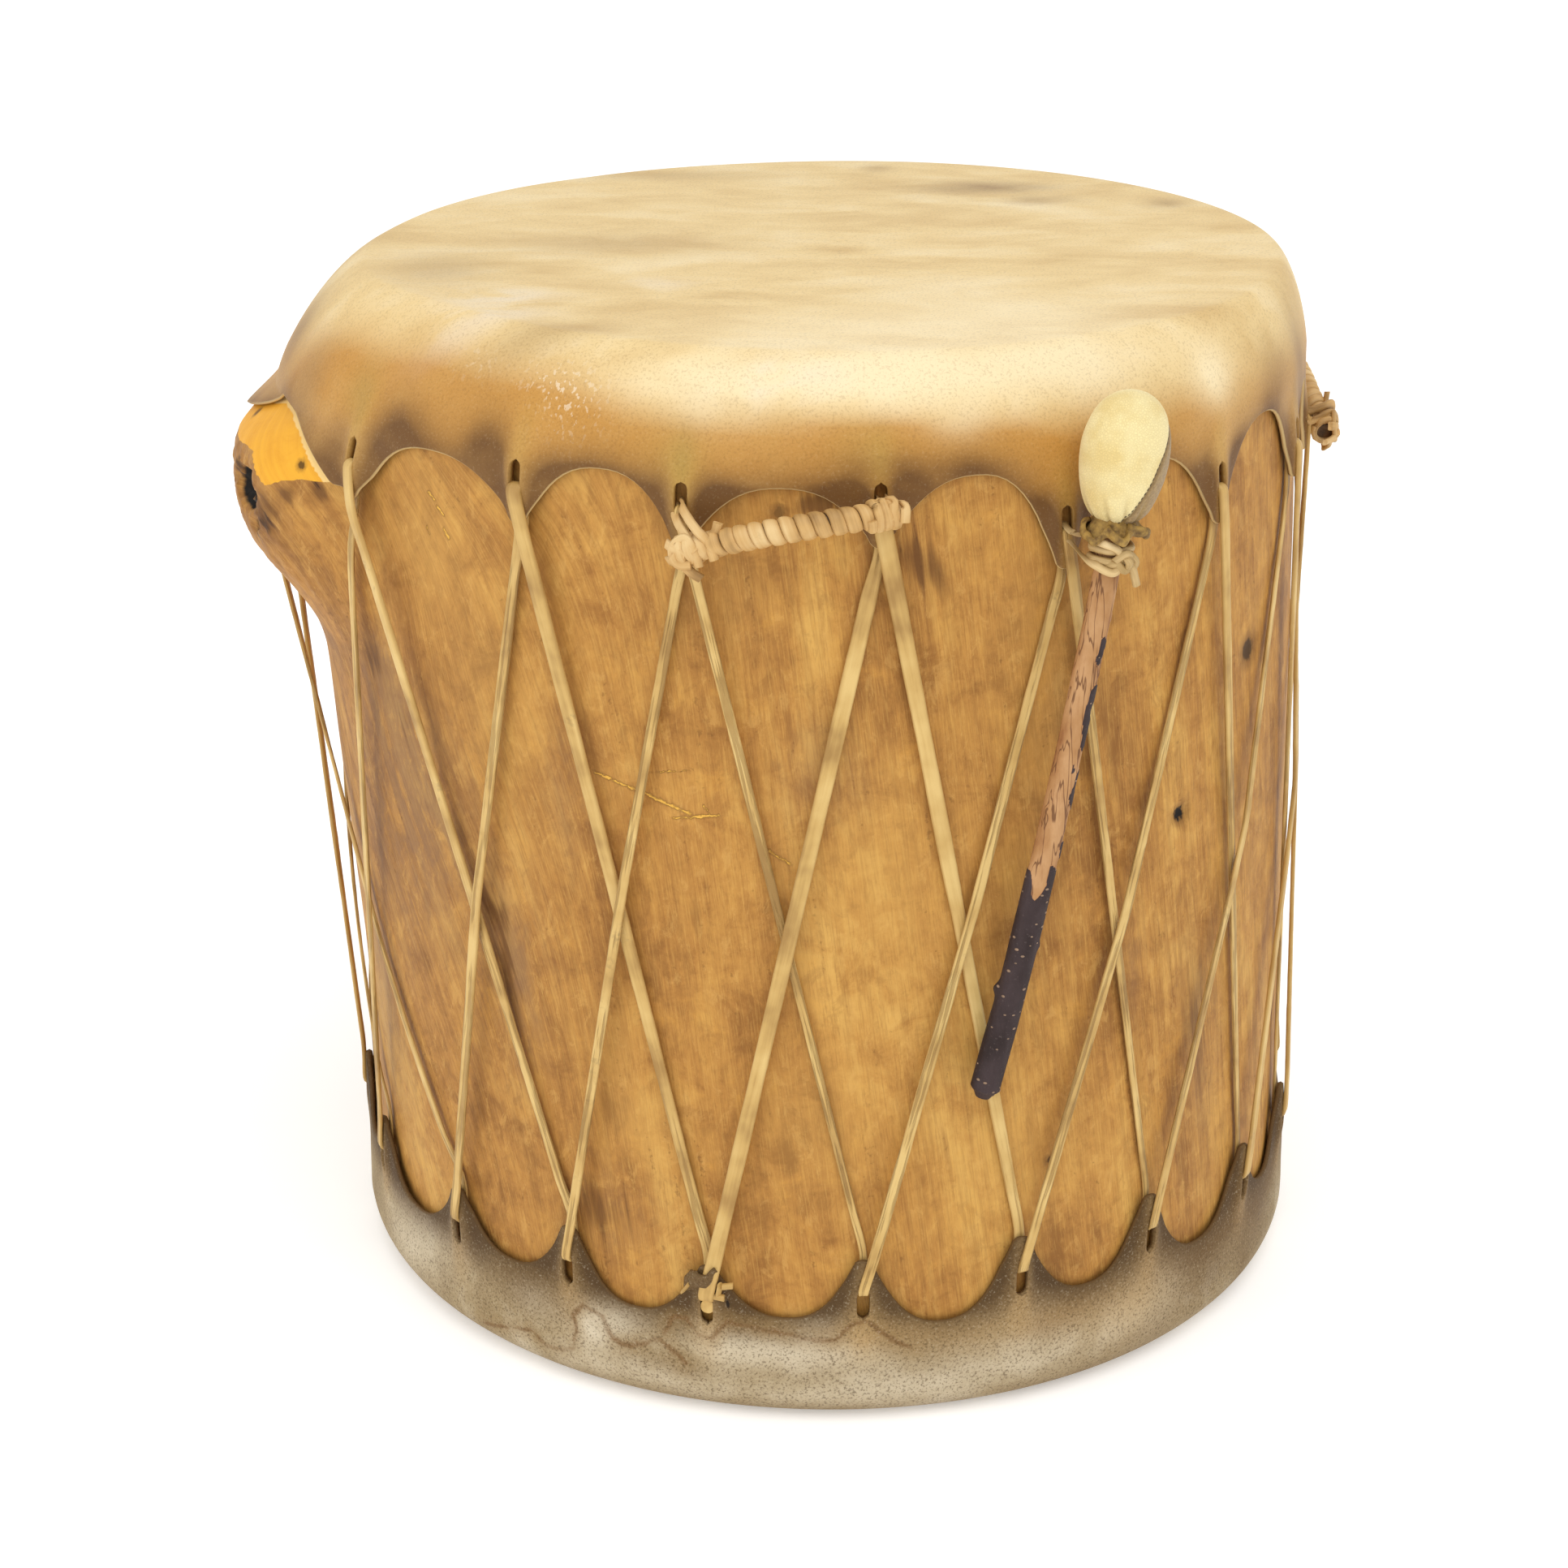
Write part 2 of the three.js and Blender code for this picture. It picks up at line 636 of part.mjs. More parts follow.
// The pad: a gathered frill at the bottom, a tied neck and a round stuffed bag
function padBody() {
  const bottom = place(STICK_TOP).add(new THREE.Vector3(0, 0, 1.6));
  const top = place(PAD_TOP);
  const spot = (z) => bottom.clone().lerp(top, (z - bottom.z) / (top.z - bottom.z));
  const neck = bottom.z + FRILL_HEIGHT;
  const stations = [
    { p: spot(bottom.z), radius: 0.7 * FRILL_RADIUS },
    { p: spot(bottom.z + 1), radius: FRILL_RADIUS },
    { p: spot(bottom.z + 0.6 * FRILL_HEIGHT), radius: FRILL_RADIUS },
    { p: spot(neck), radius: 8.2 },
  ];
  const rings = 7;
  for (let k = 1; k <= rings; k++) {
    const beta = lerp(-0.36, 0.47, k / rings) * Math.PI;
    const z = top.z - PAD_HEIGHT / 2 + (PAD_HEIGHT / 2) * Math.sin(beta);
    stations.push({ p: spot(z), radius: PAD_RADIUS * Math.cos(beta) ** 0.85 });
  }
  const gathered = (k, beta) => (k > 0 && k < 3 ? 1 + 0.14 * Math.cos(6 * beta) : 1);
  return rodBody(stations, 12, gathered);
}

// The tie: out of a slot, once round the neck of the beater, and a knot with a short tail
function tieBody(tab) {
  const height = STICK_TOP.z - 7.5;
  const middle = place(STICK_TOP).lerp(place(STICK_END), 7.5 / (STICK_TOP.z - STICK_END.z));
  const stations = [
    { p: offWood(tab.angle, tab.slotFar - 4.5, 1.25), radius: 0.7 },
    { p: offWood(tab.angle, tab.slotFar - 4.5, 4), radius: TIE_RADIUS },
    { p: offWood(tab.angle - 0.3 * DEG, tab.slotFar - 6.5, 11), radius: TIE_RADIUS },
  ];
  const round = STICK_RADIUS + TIE_RADIUS + FIT + 0.3;
  const steps = 12;
  for (let k = 0; k <= steps; k++) {
    const t = k / steps;
    const beta = lerp(1.02, -0.72, t) * Math.PI;
    const spot = new THREE.Vector3(round * Math.cos(beta), -round * Math.sin(-beta), 0);
    stations.push({ p: middle.clone().add(spot).setZ(height + lerp(2.6, -3.6, t)), radius: TIE_RADIUS });
  }
  const last = stations[stations.length - 1].p;
  stations.push({ p: last.clone().add(new THREE.Vector3(3.5, -3, -1.5)), radius: 3.4 });
  stations.push({ p: last.clone().add(new THREE.Vector3(6.5, -5, -4.5)), radius: 2.6 });
  stations.push({ p: last.clone().add(new THREE.Vector3(9.5, -5, -9.5)), radius: 1.5 });
  return rodBody(stations, 6);
}

function finish(color, roughness) {
  return new THREE.MeshStandardMaterial({ color, roughness, metalness: 0 });
}

const group = new THREE.Group();

function add(name, geometry, material) {
  const mesh = new THREE.Mesh(geometry, material);
  mesh.name = name;
  group.add(mesh);
}

add('log_shell', shellBody(), finish(0xc8954f, 0.55));
add('upper_head', upperHeadBody(), finish(0xd8be8c, 0.6));
add('lower_head', lowerHeadBody(), finish(0xa89474, 0.7));
add('lace_one', laceBody(2), finish(0xcfae68, 0.6));
add('lace_two', laceBody(9), finish(0xcbaa66, 0.6));
add('front_grip', gripBody(upperTabs[3], upperTabs[4]), finish(0xe2c690, 0.65));
add('rear_grip', gripBody(upperTabs[8], upperTabs[9]), finish(0xdcc08a, 0.65));
add('beater_stick', stickBody(), finish(0x8a6048, 0.6));
add('beater_pad', padBody(), finish(0xe5d3a0, 0.7));
add('beater_tie', tieBody(upperTabs[5]), finish(0xddbe88, 0.65));

export default group;
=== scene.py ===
"""Looks of a hollow-log drum: the log, two laced rawhide heads, two wrapped grips and a tied beater.

The drum's own sizes are millimetres, with +Z up and the front towards -Y. An angle runs from the front
towards +X. Meshes are made in metres.
"""

import logging
import math
from dataclasses import dataclass, field
from enum import Enum
from typing import Dict, List, Optional, Sequence, Tuple, Union

import bmesh
import bpy
import numpy as np
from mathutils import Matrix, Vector
from mathutils.kdtree import KDTree


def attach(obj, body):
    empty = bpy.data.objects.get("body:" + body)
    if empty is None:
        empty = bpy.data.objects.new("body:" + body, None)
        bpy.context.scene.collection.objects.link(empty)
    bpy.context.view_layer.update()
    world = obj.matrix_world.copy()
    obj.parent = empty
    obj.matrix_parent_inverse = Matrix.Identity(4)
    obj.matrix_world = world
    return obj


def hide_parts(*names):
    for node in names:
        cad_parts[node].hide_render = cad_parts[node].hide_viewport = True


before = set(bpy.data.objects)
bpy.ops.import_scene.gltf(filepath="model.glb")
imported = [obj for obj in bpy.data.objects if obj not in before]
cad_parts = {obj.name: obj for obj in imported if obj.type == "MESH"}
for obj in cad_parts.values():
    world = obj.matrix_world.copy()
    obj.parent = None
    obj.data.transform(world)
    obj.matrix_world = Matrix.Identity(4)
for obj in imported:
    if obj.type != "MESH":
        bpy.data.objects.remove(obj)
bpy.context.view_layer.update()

LOG = logging.getLogger("drum")
MM = 0.001
DEG = math.pi / 180
TAU = 2 * math.pi
Array = np.ndarray
Piece = bpy.types.Object
Material = bpy.types.Material
Faces = List[Tuple[int, ...]]
Pair = Tuple[float, float]
Triple = Tuple[float, float, float]
Number = Union[float, Array]
Colour = Tuple[float, float, float, float]


def srgb(code: str) -> Colour:
    """Linear colour of a six-digit code such as "c8954f"."""
    parts = [int(code[i : i + 2], 16) / 255 for i in (0, 2, 4)]
    linear = [c / 12.92 if c < 0.04045 else ((c + 0.055) / 1.055) ** 2.4 for c in parts]
    return (linear[0], linear[1], linear[2], 1.0)


def lerp(a: Number, b: Number, t: Number) -> Number:
    """Value a share t of the way from a to b."""
    return a + (b - a) * t


def smooth(low: Number, high: Number, value: Number) -> Number:
    """Smooth step from 0 at low to 1 at high."""
    t = np.clip((value - low) / (high - low), 0, 1)
    return t * t * (3 - 2 * t)


def wrap(angle: Number) -> Number:
    """Angle brought to the range from -pi to pi."""
    return np.arctan2(np.sin(angle), np.cos(angle))


def polar(angle: Number, reach: Number, z: Number) -> Array:
    """Point at an angle from the front, a reach from the axis and a height."""
    angle, reach, z = np.broadcast_arrays(angle, reach, z)
    return np.stack([reach * np.sin(angle), -reach * np.cos(angle), z], axis=-1).astype(float)


def unit(vectors: Array) -> Array:
    """Vectors brought to a length of one."""
    return vectors / np.linalg.norm(vectors, axis=-1, keepdims=True)


def ripple(points: Array, wave: float, seed: int, stretch: float = 1.0) -> Array:
    """Smooth random waves through space.

    Args:
        points: Points, in millimetres.
        wave: Typical length of a wave.
        seed: Seed of the waves' directions.
        stretch: How many times longer the waves are along Z.

    Returns:
        A value for each point, mostly from -1 to 1.
    """
    rng = np.random.default_rng(seed)
    count = 16
    ways = unit(rng.normal(size=(count, 3)))
    ways *= (TAU / wave) * rng.uniform(0.6, 1.4, (count, 1))
    ways[:, 2] /= stretch
    phase = rng.uniform(0, TAU, count)
    total = np.zeros(points.shape[:-1])
    for way, start in zip(ways, phase):
        total += np.sin(points @ way + start)
    return total / math.sqrt(2 * count)


def smooth_path(stations: Array, step: float, closed: bool = False) -> Array:
    """Even points on a smooth curve through stations.

    Args:
        stations: Points that the curve passes.
        step: Distance between the returned points.
        closed: Whether the curve joins its own start.

    Returns:
        Points along the curve.
    """
    p = np.asarray(stations, float)
    if closed:
        p = np.vstack([p[-1:], p, p[:2]])
    else:
        p = np.vstack([2 * p[0] - p[1], p, 2 * p[-1] - p[-2]])
    out = []
    for a, b, c, d in zip(p, p[1:], p[2:], p[3:]):
        gap = np.sqrt(np.maximum([np.linalg.norm(b - a), np.linalg.norm(c - b), np.linalg.norm(d - c)], 1e-6))
        t1, t2, t3 = gap[0], gap[0] + gap[1], gap.sum()
        count = max(1, round(np.linalg.norm(c - b) / step))
        t = lerp(t1, t2, np.arange(count) / count)[:, None]
        ab = lerp(a, b, t / t1)
        bc = lerp(b, c, (t - t1) / (t2 - t1))
        cd = lerp(c, d, (t - t2) / (t3 - t2))
        abc = lerp(ab, bc, t / t2)
        bcd = lerp(bc, cd, (t - t1) / (t3 - t1))
        out.append(lerp(abc, bcd, (t - t1) / (t2 - t1)))
    if not closed:
        out.append(p[-2:-1])
    return np.vstack(out)


# Node trees


class Sock:
    """An output of a node, which can be used in arithmetic."""

    def __init__(self, tree: "Tree", socket: bpy.types.NodeSocket) -> None:
        """Keeps the tree and the socket."""
        self.tree = tree
        self.socket = socket

    def _math(self, operation: str, first: "Input", second: "Input" = 0.0, clamp: bool = False) -> "Sock":
        """Adds a Math node for an operation on two values."""
        settings = {"operation": operation, "use_clamp": clamp}
        return self.tree.node("ShaderNodeMath", settings, {0: first, 1: second})

    def __add__(self, other: "Input") -> "Sock":
        """Sum."""
        return self._math("ADD", self, other)

    def __sub__(self, other: "Input") -> "Sock":
        """Difference."""
        return self._math("SUBTRACT", self, other)

    def __rsub__(self, other: "Input") -> "Sock":
        """Difference from a number."""
        return self._math("SUBTRACT", other, self)

    def __mul__(self, other: "Input") -> "Sock":
        """Product."""
        return self._math("MULTIPLY", self, other)

    def __truediv__(self, other: "Input") -> "Sock":
        """Quotient."""
        return self._math("DIVIDE", self, other)

    __radd__ = __add__
    __rmul__ = __mul__

    def size(self) -> "Sock":
        """Value without its sign."""
        return self._math("ABSOLUTE", self)

    def sine(self) -> "Sock":
        """Sine of the value."""
        return self._math("SINE", self)

    def cosine(self) -> "Sock":
        """Cosine of the value."""
        return self._math("COSINE", self)

    def clip(self) -> "Sock":
        """Value held from 0 to 1."""
        return self._math("ADD", self, 0.0, True)

    def least(self, other: "Input") -> "Sock":
        """Smaller of two values."""
        return self._math("MINIMUM", self, other)

    def step(self, low: float, high: float) -> "Sock":
        """Smooth step from 0 at low to 1 at high."""
        return self.tree.node(
            "ShaderNodeMapRange",
            {"interpolation_type": "SMOOTHSTEP"},
            {"Value": self, "From Min": low, "From Max": high},
        )

    def scaled(self, by: Sequence[float]) -> "Sock":
        """Vector with each axis multiplied."""
        return self.tree.vector("MULTIPLY", self, tuple(by))


Input = Union[Sock, float, int, bool, str, tuple, bpy.types.ID]


class Tree:
    """A node tree, with one way to add any node."""

    def __init__(self, tree: bpy.types.NodeTree) -> None:
        """Empties the tree and keeps it."""
        self.tree = tree
        tree.nodes.clear()

    def node(
        self,
        kind: str,
        settings: Optional[Dict[str, object]] = None,
        inputs: Optional[Dict[Union[int, str], Input]] = None,
        output: Union[int, str] = 0,
    ) -> Sock:
        """Adds a node.

        Args:
            kind: The node's type.
            settings: Its own settings, which are set first; "stops" gives a ramp's places and colours.
            inputs: A value or a link for each named or numbered socket.
            output: The socket to return.

        Returns:
            One output of the node.
        """
        made = self.tree.nodes.new(kind)
        for name, value in (settings or {}).items():
            if name == "stops":
                self._set_stops(made.color_ramp, value)
            else:
                setattr(made, name, value)
        for key, value in (inputs or {}).items():
            if isinstance(value, Sock):
                self.tree.links.new(value.socket, made.inputs[key])
            else:
                made.inputs[key].default_value = value
        return Sock(self, made.outputs[output])

    @staticmethod
    def _set_stops(ramp: bpy.types.ColorRamp, stops: Sequence[Tuple[float, Colour]]) -> None:
        """Gives a ramp its stops."""
        while len(ramp.elements) < len(stops):
            ramp.elements.new(1.0)
        for element, (place, colour) in zip(ramp.elements, stops):
            element.position = place
            element.color = colour

    def vector(self, operation: str, first: Input, second: Input = (0.0, 0.0, 0.0), output: int = 0) -> Sock:
        """Adds a Vector Math node on two vectors."""
        return self.node("ShaderNodeVectorMath", {"operation": operation}, {0: first, 1: second}, output)

    def noise(
        self, place: Input, scale: float, detail: float = 3.0, rough: float = 0.55, bend: float = 0.0
    ) -> Sock:
        """Adds a Noise Texture and returns its value."""
        sockets = {"Vector": place, "Scale": scale, "Detail": detail, "Roughness": rough, "Distortion": bend}
        return self.node("ShaderNodeTexNoise", {}, sockets)

    def shaken(self, place: Sock, scale: float, size: float) -> Sock:
        """A place moved about by noise, up to half a size in millimetres each way."""
        sockets = {"Vector": place, "Scale": scale, "Detail": 3.0}
        colour = self.node("ShaderNodeTexNoise", {}, sockets, "Color")
        way = self.vector("SUBTRACT", colour, (0.5, 0.5, 0.5))
        return self.vector("ADD", place, way.scaled((size * MM, size * MM, size * MM)))


class Skin(Tree):
    """The node tree of one material."""

    def __init__(self, name: str) -> None:
        """Makes the material."""
        self.material = bpy.data.materials.new(name)
        self.material.use_nodes = True
        super().__init__(self.material.node_tree)

    def here(self) -> Sock:
        """Place on the piece, in metres in the drum's frame."""
        return self.node("ShaderNodeTexCoord", {}, {}, "Object")

    def mask(self, name: str) -> Sock:
        """Value of one of the piece's own attributes."""
        return self.node("ShaderNodeAttribute", {"attribute_name": name}, {}, "Fac")

    def way(self, name: str) -> Sock:
        """Vector of one of the piece's own attributes."""
        return self.node("ShaderNodeAttribute", {"attribute_name": name}, {}, "Vector")

    def blend(self, share: Input, first: Input, second: Input) -> Sock:
        """Mixes two colours."""
        settings = {"data_type": "RGBA", "blend_type": "MIX", "clamp_factor": True}
        return self.node("ShaderNodeMix", settings, {0: share, 6: first, 7: second}, 2)

    def tint(self, colour: Input, *layers: Tuple[Sock, str]) -> Sock:
        """Lays colours over a colour, one after another, each by its share."""
        for share, code in layers:
            colour = self.blend(share, colour, srgb(code))
        return colour

    def ramp(self, value: Sock, *stops: Tuple[float, str]) -> Sock:
        """Colour from stops of place and colour code."""
        return self.node("ShaderNodeValToRGB", {"stops": [(p, srgb(c)) for p, c in stops]}, {0: value})

    def spot(self, place: Sock, centre: Array, radius: float) -> Sock:
        """Distance from a point of the drum, in radii."""
        gap = self.vector("DISTANCE", place, tuple(np.asarray(centre, float) * MM), 1)
        return gap / (radius * MM)

    def stroke(self, place: Sock, start: Array, end: Array, width: float) -> Sock:
        """Distance from a straight stroke on the drum, in half widths."""
        first, last = np.asarray(start, float) * MM, np.asarray(end, float) * MM
        run = last - first
        offset = self.vector("SUBTRACT", place, tuple(first))
        along = self.vector("DOT_PRODUCT", offset, tuple(run / (run @ run)), 1).clip()
        base = self.node("ShaderNodeVectorMath", {"operation": "SCALE"}, {0: tuple(run), "Scale": along})
        return self.vector("DISTANCE", offset, base, 1) / (0.5 * width * MM)

    def surface(
        self,
        colour: Input,
        rough: Input,
        height: Optional[Sock] = None,
        depth: float = 0.5,
        **constants: Input,
    ) -> Material:
        """Ends the tree in a Principled shader.

        Args:
            colour: Base colour.
            rough: Roughness.
            height: Relief for a Bump node, if any.
            depth: Depth of that relief, in millimetres.
            constants: Other sockets of the shader, by name with _ for a space.

        Returns:
            The material.
        """
        sockets: Dict[Union[int, str], Input] = {"Base Color": colour, "Roughness": rough}
        if height is not None:
            bump = {"Strength": 1.0, "Distance": depth * MM, "Height": height}
            sockets["Normal"] = self.node("ShaderNodeBump", {}, bump)
        sockets.update({name.replace("_", " "): value for name, value in constants.items()})
        shader = self.node("ShaderNodeBsdfPrincipled", {}, sockets)
        self.node_output(shader)
        return self.material

    def node_output(self, shader: Sock) -> None:
        """Links the shader to the material's output."""
        end = self.tree.nodes.new("ShaderNodeOutputMaterial")
        self.tree.links.new(shader.socket, end.inputs["Surface"])


class Growth(Tree):
    """A Geometry Nodes tree with named inputs."""

    KINDS = {float: "NodeSocketFloat", int: "NodeSocketInt"}

    def __init__(self, name: str, sizes: Dict[str, Union[float, int]]) -> None:
        """Makes the tree, with an input for the geometry, one for each size and one for the material."""
        super().__init__(bpy.data.node_groups.new(name, "GeometryNodeTree"))
        face = self.tree.interface
        face.new_socket("Geometry", in_out="INPUT", socket_type="NodeSocketGeometry")
        face.new_socket("Geometry", in_out="OUTPUT", socket_type="NodeSocketGeometry")
        self.keys: Dict[str, str] = {}
        for size, value in sizes.items():
            socket = face.new_socket(size, in_out="INPUT", socket_type=self.KINDS[type(value)])
            socket.default_value = value
            self.keys[size] = socket.identifier
        made = face.new_socket("Material", in_out="INPUT", socket_type="NodeSocketMaterial")
        self.keys["Material"] = made.identifier
        self.entry = self.tree.nodes.new("NodeGroupInput")

    def given(self, name: str) -> Sock:
        """One of the tree's own inputs."""
        return Sock(self, self.entry.outputs[name])

    def field(self, name: str, kind: str = "FLOAT") -> Sock:
        """A named attribute of the geometry."""
        return self.node("GeometryNodeInputNamedAttribute", {"data_type": kind}, {"Name": name})

    def store(self, geometry: Sock, name: str, value: Input, kind: str = "FLOAT") -> Sock:
        """Stores a named attribute on points."""
        sockets = {"Geometry": geometry, "Name": name, "Value": value}
        return self.node("GeometryNodeStoreNamedAttribute", {"data_type": kind, "domain": "POINT"}, sockets)

    def join_axes(self, x: Input, y: Input, z: Input) -> Sock:
        """A vector from three values."""
        return self.node("ShaderNodeCombineXYZ", {}, {0: x, 1: y, 2: z})

    def times(self, vector: Input, by: Input) -> Sock:
        """A vector times a number."""
        return self.node("ShaderNodeVectorMath", {"operation": "SCALE"}, {0: vector, "Scale": by})

    def path(self) -> Sock:
        """The given edges as a curve."""
        return self.node("GeometryNodeMeshToCurve", {}, {"Mesh": self.given("Geometry")})

    def beads(self, points: Sock, size: Sock) -> Sock:
        """Sets a bead on each point, turned with it, in a size."""
        turn = Sock(self, points.socket.node.outputs["Rotation"])
        bead = self.node("GeometryNodeMeshIcoSphere", {}, {"Radius": 1.0, "Subdivisions": 2})
        sockets = {"Points": points, "Instance": bead, "Rotation": turn, "Scale": size}
        return self.node("GeometryNodeInstanceOnPoints", {}, sockets)

    def strap(self, curve: Sock) -> Sock:
        """Sweeps a flat thong along a curve whose points carry "facing" and "breadth".

        Args:
            curve: The curve.

        Returns:
            The thong's mesh, with "along", "across" and "side" on its points.
        """
        facing = self.field("facing", "FLOAT_VECTOR")
        turned = self.node("GeometryNodeSetCurveNormal", {"mode": "FREE"}, {"Curve": curve, "Normal": facing})
        length = self.node("GeometryNodeSplineParameter", {}, {}, "Length")
        path = self.store(turned, "along", length)
        wide, thick = self.given("Width"), self.given("Thickness")
        plate = self.node("GeometryNodeCurvePrimitiveQuadrilateral", {}, {0: thick, 1: wide})
        fillet = {"Curve": plate, "Count": 3, "Radius": thick * 0.42, "Limit Radius": True}
        plate = self.node("GeometryNodeFilletCurve", {"mode": "POLY"}, fillet)
        plate = self.node("GeometryNodeResampleCurve", {}, {"Curve": plate, "Count": self.given("Sides")})
        spot = self.node("GeometryNodeInputPosition")
        x = self.node("ShaderNodeSeparateXYZ", {}, {0: spot}, "X")
        y = self.node("ShaderNodeSeparateXYZ", {}, {0: spot}, "Y")
        plate = self.store(plate, "across", y / (wide * 0.5))
        plate = self.store(plate, "side", x / (thick * 0.5))
        share = self.field("across")
        curl = self.join_axes(share * share * self.given("Curl"), 0.0, 0.0)
        plate = self.node("GeometryNodeSetPosition", {}, {"Geometry": plate, "Offset": curl})
        sweep = {"Curve": path, "Profile Curve": plate, "Scale": self.field("breadth"), "Fill Caps": True}
        mesh = self.node("GeometryNodeCurveToMesh", {}, sweep)
        wave = self.noise(self.node("GeometryNodeInputPosition"), 160.0, 2.0) - 0.5
        bump = self.times(self.node("GeometryNodeInputNormal"), wave * self.given("Wobble"))
        return self.node("GeometryNodeSetPosition", {}, {"Geometry": mesh, "Offset": bump})

    def close(self, geometry: Sock) -> None:
        """Ends the tree with plain geometry in its material."""
        plain = self.node("GeometryNodeRealizeInstances", {}, {"Geometry": geometry})
        even = self.node("GeometryNodeSetShadeSmooth", {}, {"Geometry": plain, "Shade Smooth": True})
        worn = {"Geometry": even, "Material": self.given("Material")}
        dressed = self.node("GeometryNodeSetMaterial", {}, worn)
        end = self.tree.nodes.new("NodeGroupOutput")
        self.tree.links.new(dressed.socket, end.inputs[0])

    def grow(self, piece: Piece, material: Material, **sizes: float) -> Piece:
        """Runs the tree on a piece and keeps the result as a plain mesh.

        Args:
            piece: The object that holds the path or the surface.
            material: The result's material.
            sizes: Values for the tree's inputs, by name with _ for a space.

        Returns:
            The piece, with its new mesh.
        """
        step = piece.modifiers.new("growth", "NODES")
        step.node_group = self.tree
        for name, value in sizes.items():
            step[self.keys[name.replace("_", " ")]] = value
        step[self.keys["Material"]] = material
        old, piece.data = piece.data, bake(piece)
        bpy.data.meshes.remove(old)
        return piece


# Making pieces


def add_marks(mesh: bpy.types.Mesh, marks: Dict[str, Array]) -> None:
    """Gives a mesh's points attributes, values or vectors, by name."""
    for name, values in marks.items():
        flat = np.asarray(values, np.float32)
        kind, key = ("FLOAT_VECTOR", "vector") if flat.ndim == 2 else ("FLOAT", "value")
        mesh.attributes.new(name, kind, "POINT").data.foreach_set(key, flat.ravel())


def points_of(mesh: bpy.types.Mesh) -> Array:
    """A mesh's points, in metres."""
    return np.array([v.co[:] for v in mesh.vertices])


def move_points(mesh: bpy.types.Mesh, points: Array) -> None:
    """Puts a mesh's points at places in metres."""
    mesh.vertices.foreach_set("co", points.astype(np.float32).ravel())


def make_piece(
    name: str,
    points: Array,
    faces: Sequence[Sequence[int]],
    material: Optional[Material] = None,
    edges: Sequence[Sequence[int]] = (),
    **marks: Array,
) -> Piece:
    """Makes a mesh object from points in millimetres.

    Args:
        name: The piece's name.
        points: Its points.
        faces: Point numbers of each face.
        material: Its material.
        edges: Point numbers of loose edges.
        marks: Attributes of the points, values or vectors, by name.

    Returns:
        The object, at the origin.
    """
    mesh = bpy.data.meshes.new(name)
    mesh.from_pydata((np.asarray(points, float) * MM).tolist(), list(edges), [list(f) for f in faces])
    add_marks(mesh, marks)
    mesh.shade_smooth()
    if material is not None:
        mesh.materials.append(material)
    piece = bpy.data.objects.new(name, mesh)
    bpy.context.scene.collection.objects.link(piece)
    return piece


def bake(piece: Piece) -> bpy.types.Mesh:
    """Takes a piece's modifiers off and returns the mesh that they made."""
    graph = bpy.context.evaluated_depsgraph_get()
    shown = piece.evaluated_get(graph)
    made = bpy.data.meshes.new_from_object(shown, preserve_all_data_layers=True, depsgraph=graph)
    piece.modifiers.clear()
    return made


def face_out(piece: Piece) -> None:
    """Turns the faces of a closed mesh outwards."""
    work = bmesh.new()
    work.from_mesh(piece.data)
    bmesh.ops.recalc_face_normals(work, faces=work.faces)
    work.to_mesh(piece.data)
    work.free()


def join_pieces(name: str, pieces: Sequence[Piece]) -> Piece:
    """Joins several objects into the first one and names it."""
    chosen = {"active_object": pieces[0], "selected_editable_objects": pieces, "selected_objects": pieces}
    if len(pieces) > 1:
        with bpy.context.temp_override(**chosen):
            bpy.ops.object.join()
    pieces[0].name = name
    return pieces[0]


def settle(piece: Piece, slot: str, *nodes: str) -> Piece:
    """Fixes a finished piece to the drum.

    Args:
        piece: The piece.
        slot: The record's material slot for the piece; not used.
        nodes: The CAD nodes that it stands for.

    Returns:
        The piece.
    """
    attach(piece, "root")
    if nodes:
        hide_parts(*nodes)
    LOG.info("%s: %d faces", piece.name, len(piece.data.polygons))
    return piece


def strip_faces(first: Array, second: Array) -> Faces:
    """Faces between two closed rings of point numbers."""
    corners = np.stack([first, np.roll(first, -1), np.roll(second, -1), second], axis=1)
    return [tuple(face) for face in corners.tolist()]


def grid_faces(rows: int, columns: int, ring: bool = True) -> Faces:
    """Faces of a grid of points that is numbered row by row and may close into a ring."""
    numbers = np.arange(rows * columns).reshape(rows, columns)
    faces: Faces = []
    for first, second in zip(numbers, numbers[1:]):
        faces += strip_faces(first, second)[: columns if ring else columns - 1]
    return faces


def cap_faces(rows: int, columns: int) -> Faces:
    """Faces that close both ends of a ringed grid with the two points numbered after it."""
    last, tip = (rows - 1) * columns, rows * columns
    faces: Faces = []
    for c in range(columns):
        n = (c + 1) % columns
        faces += [(n, c, tip), (last + c, last + n, tip + 1)]
    return faces


@dataclass(frozen=True)
class Patch:
    """A soft patch on the drum's skin, or on the top if a reach is given, and how strong it is."""

    degrees: float
    z: float
    wide: float
    tall: float
    strength: float = 1.0
    reach: float = 0.0
    deep: float = 0.0

    def on(self, points: Array) -> Array:
        """How much of the patch each point has."""
        centre = FORM.on_wood(self.degrees, self.z, 3.0)
        if self.reach:
            centre = polar(self.degrees * DEG, self.reach, self.z)
        gap = points - centre
        deep = self.deep or self.wide
        flat = (gap[..., 0] / self.wide) ** 2 + (gap[..., 1] / deep) ** 2
        return self.strength * np.exp(-flat - (gap[..., 2] / self.tall) ** 2)


def patches(*rows: Sequence[float]) -> Tuple[Patch, ...]:
    """Patches, each from its values in order."""
    return tuple(Patch(*row) for row in rows)


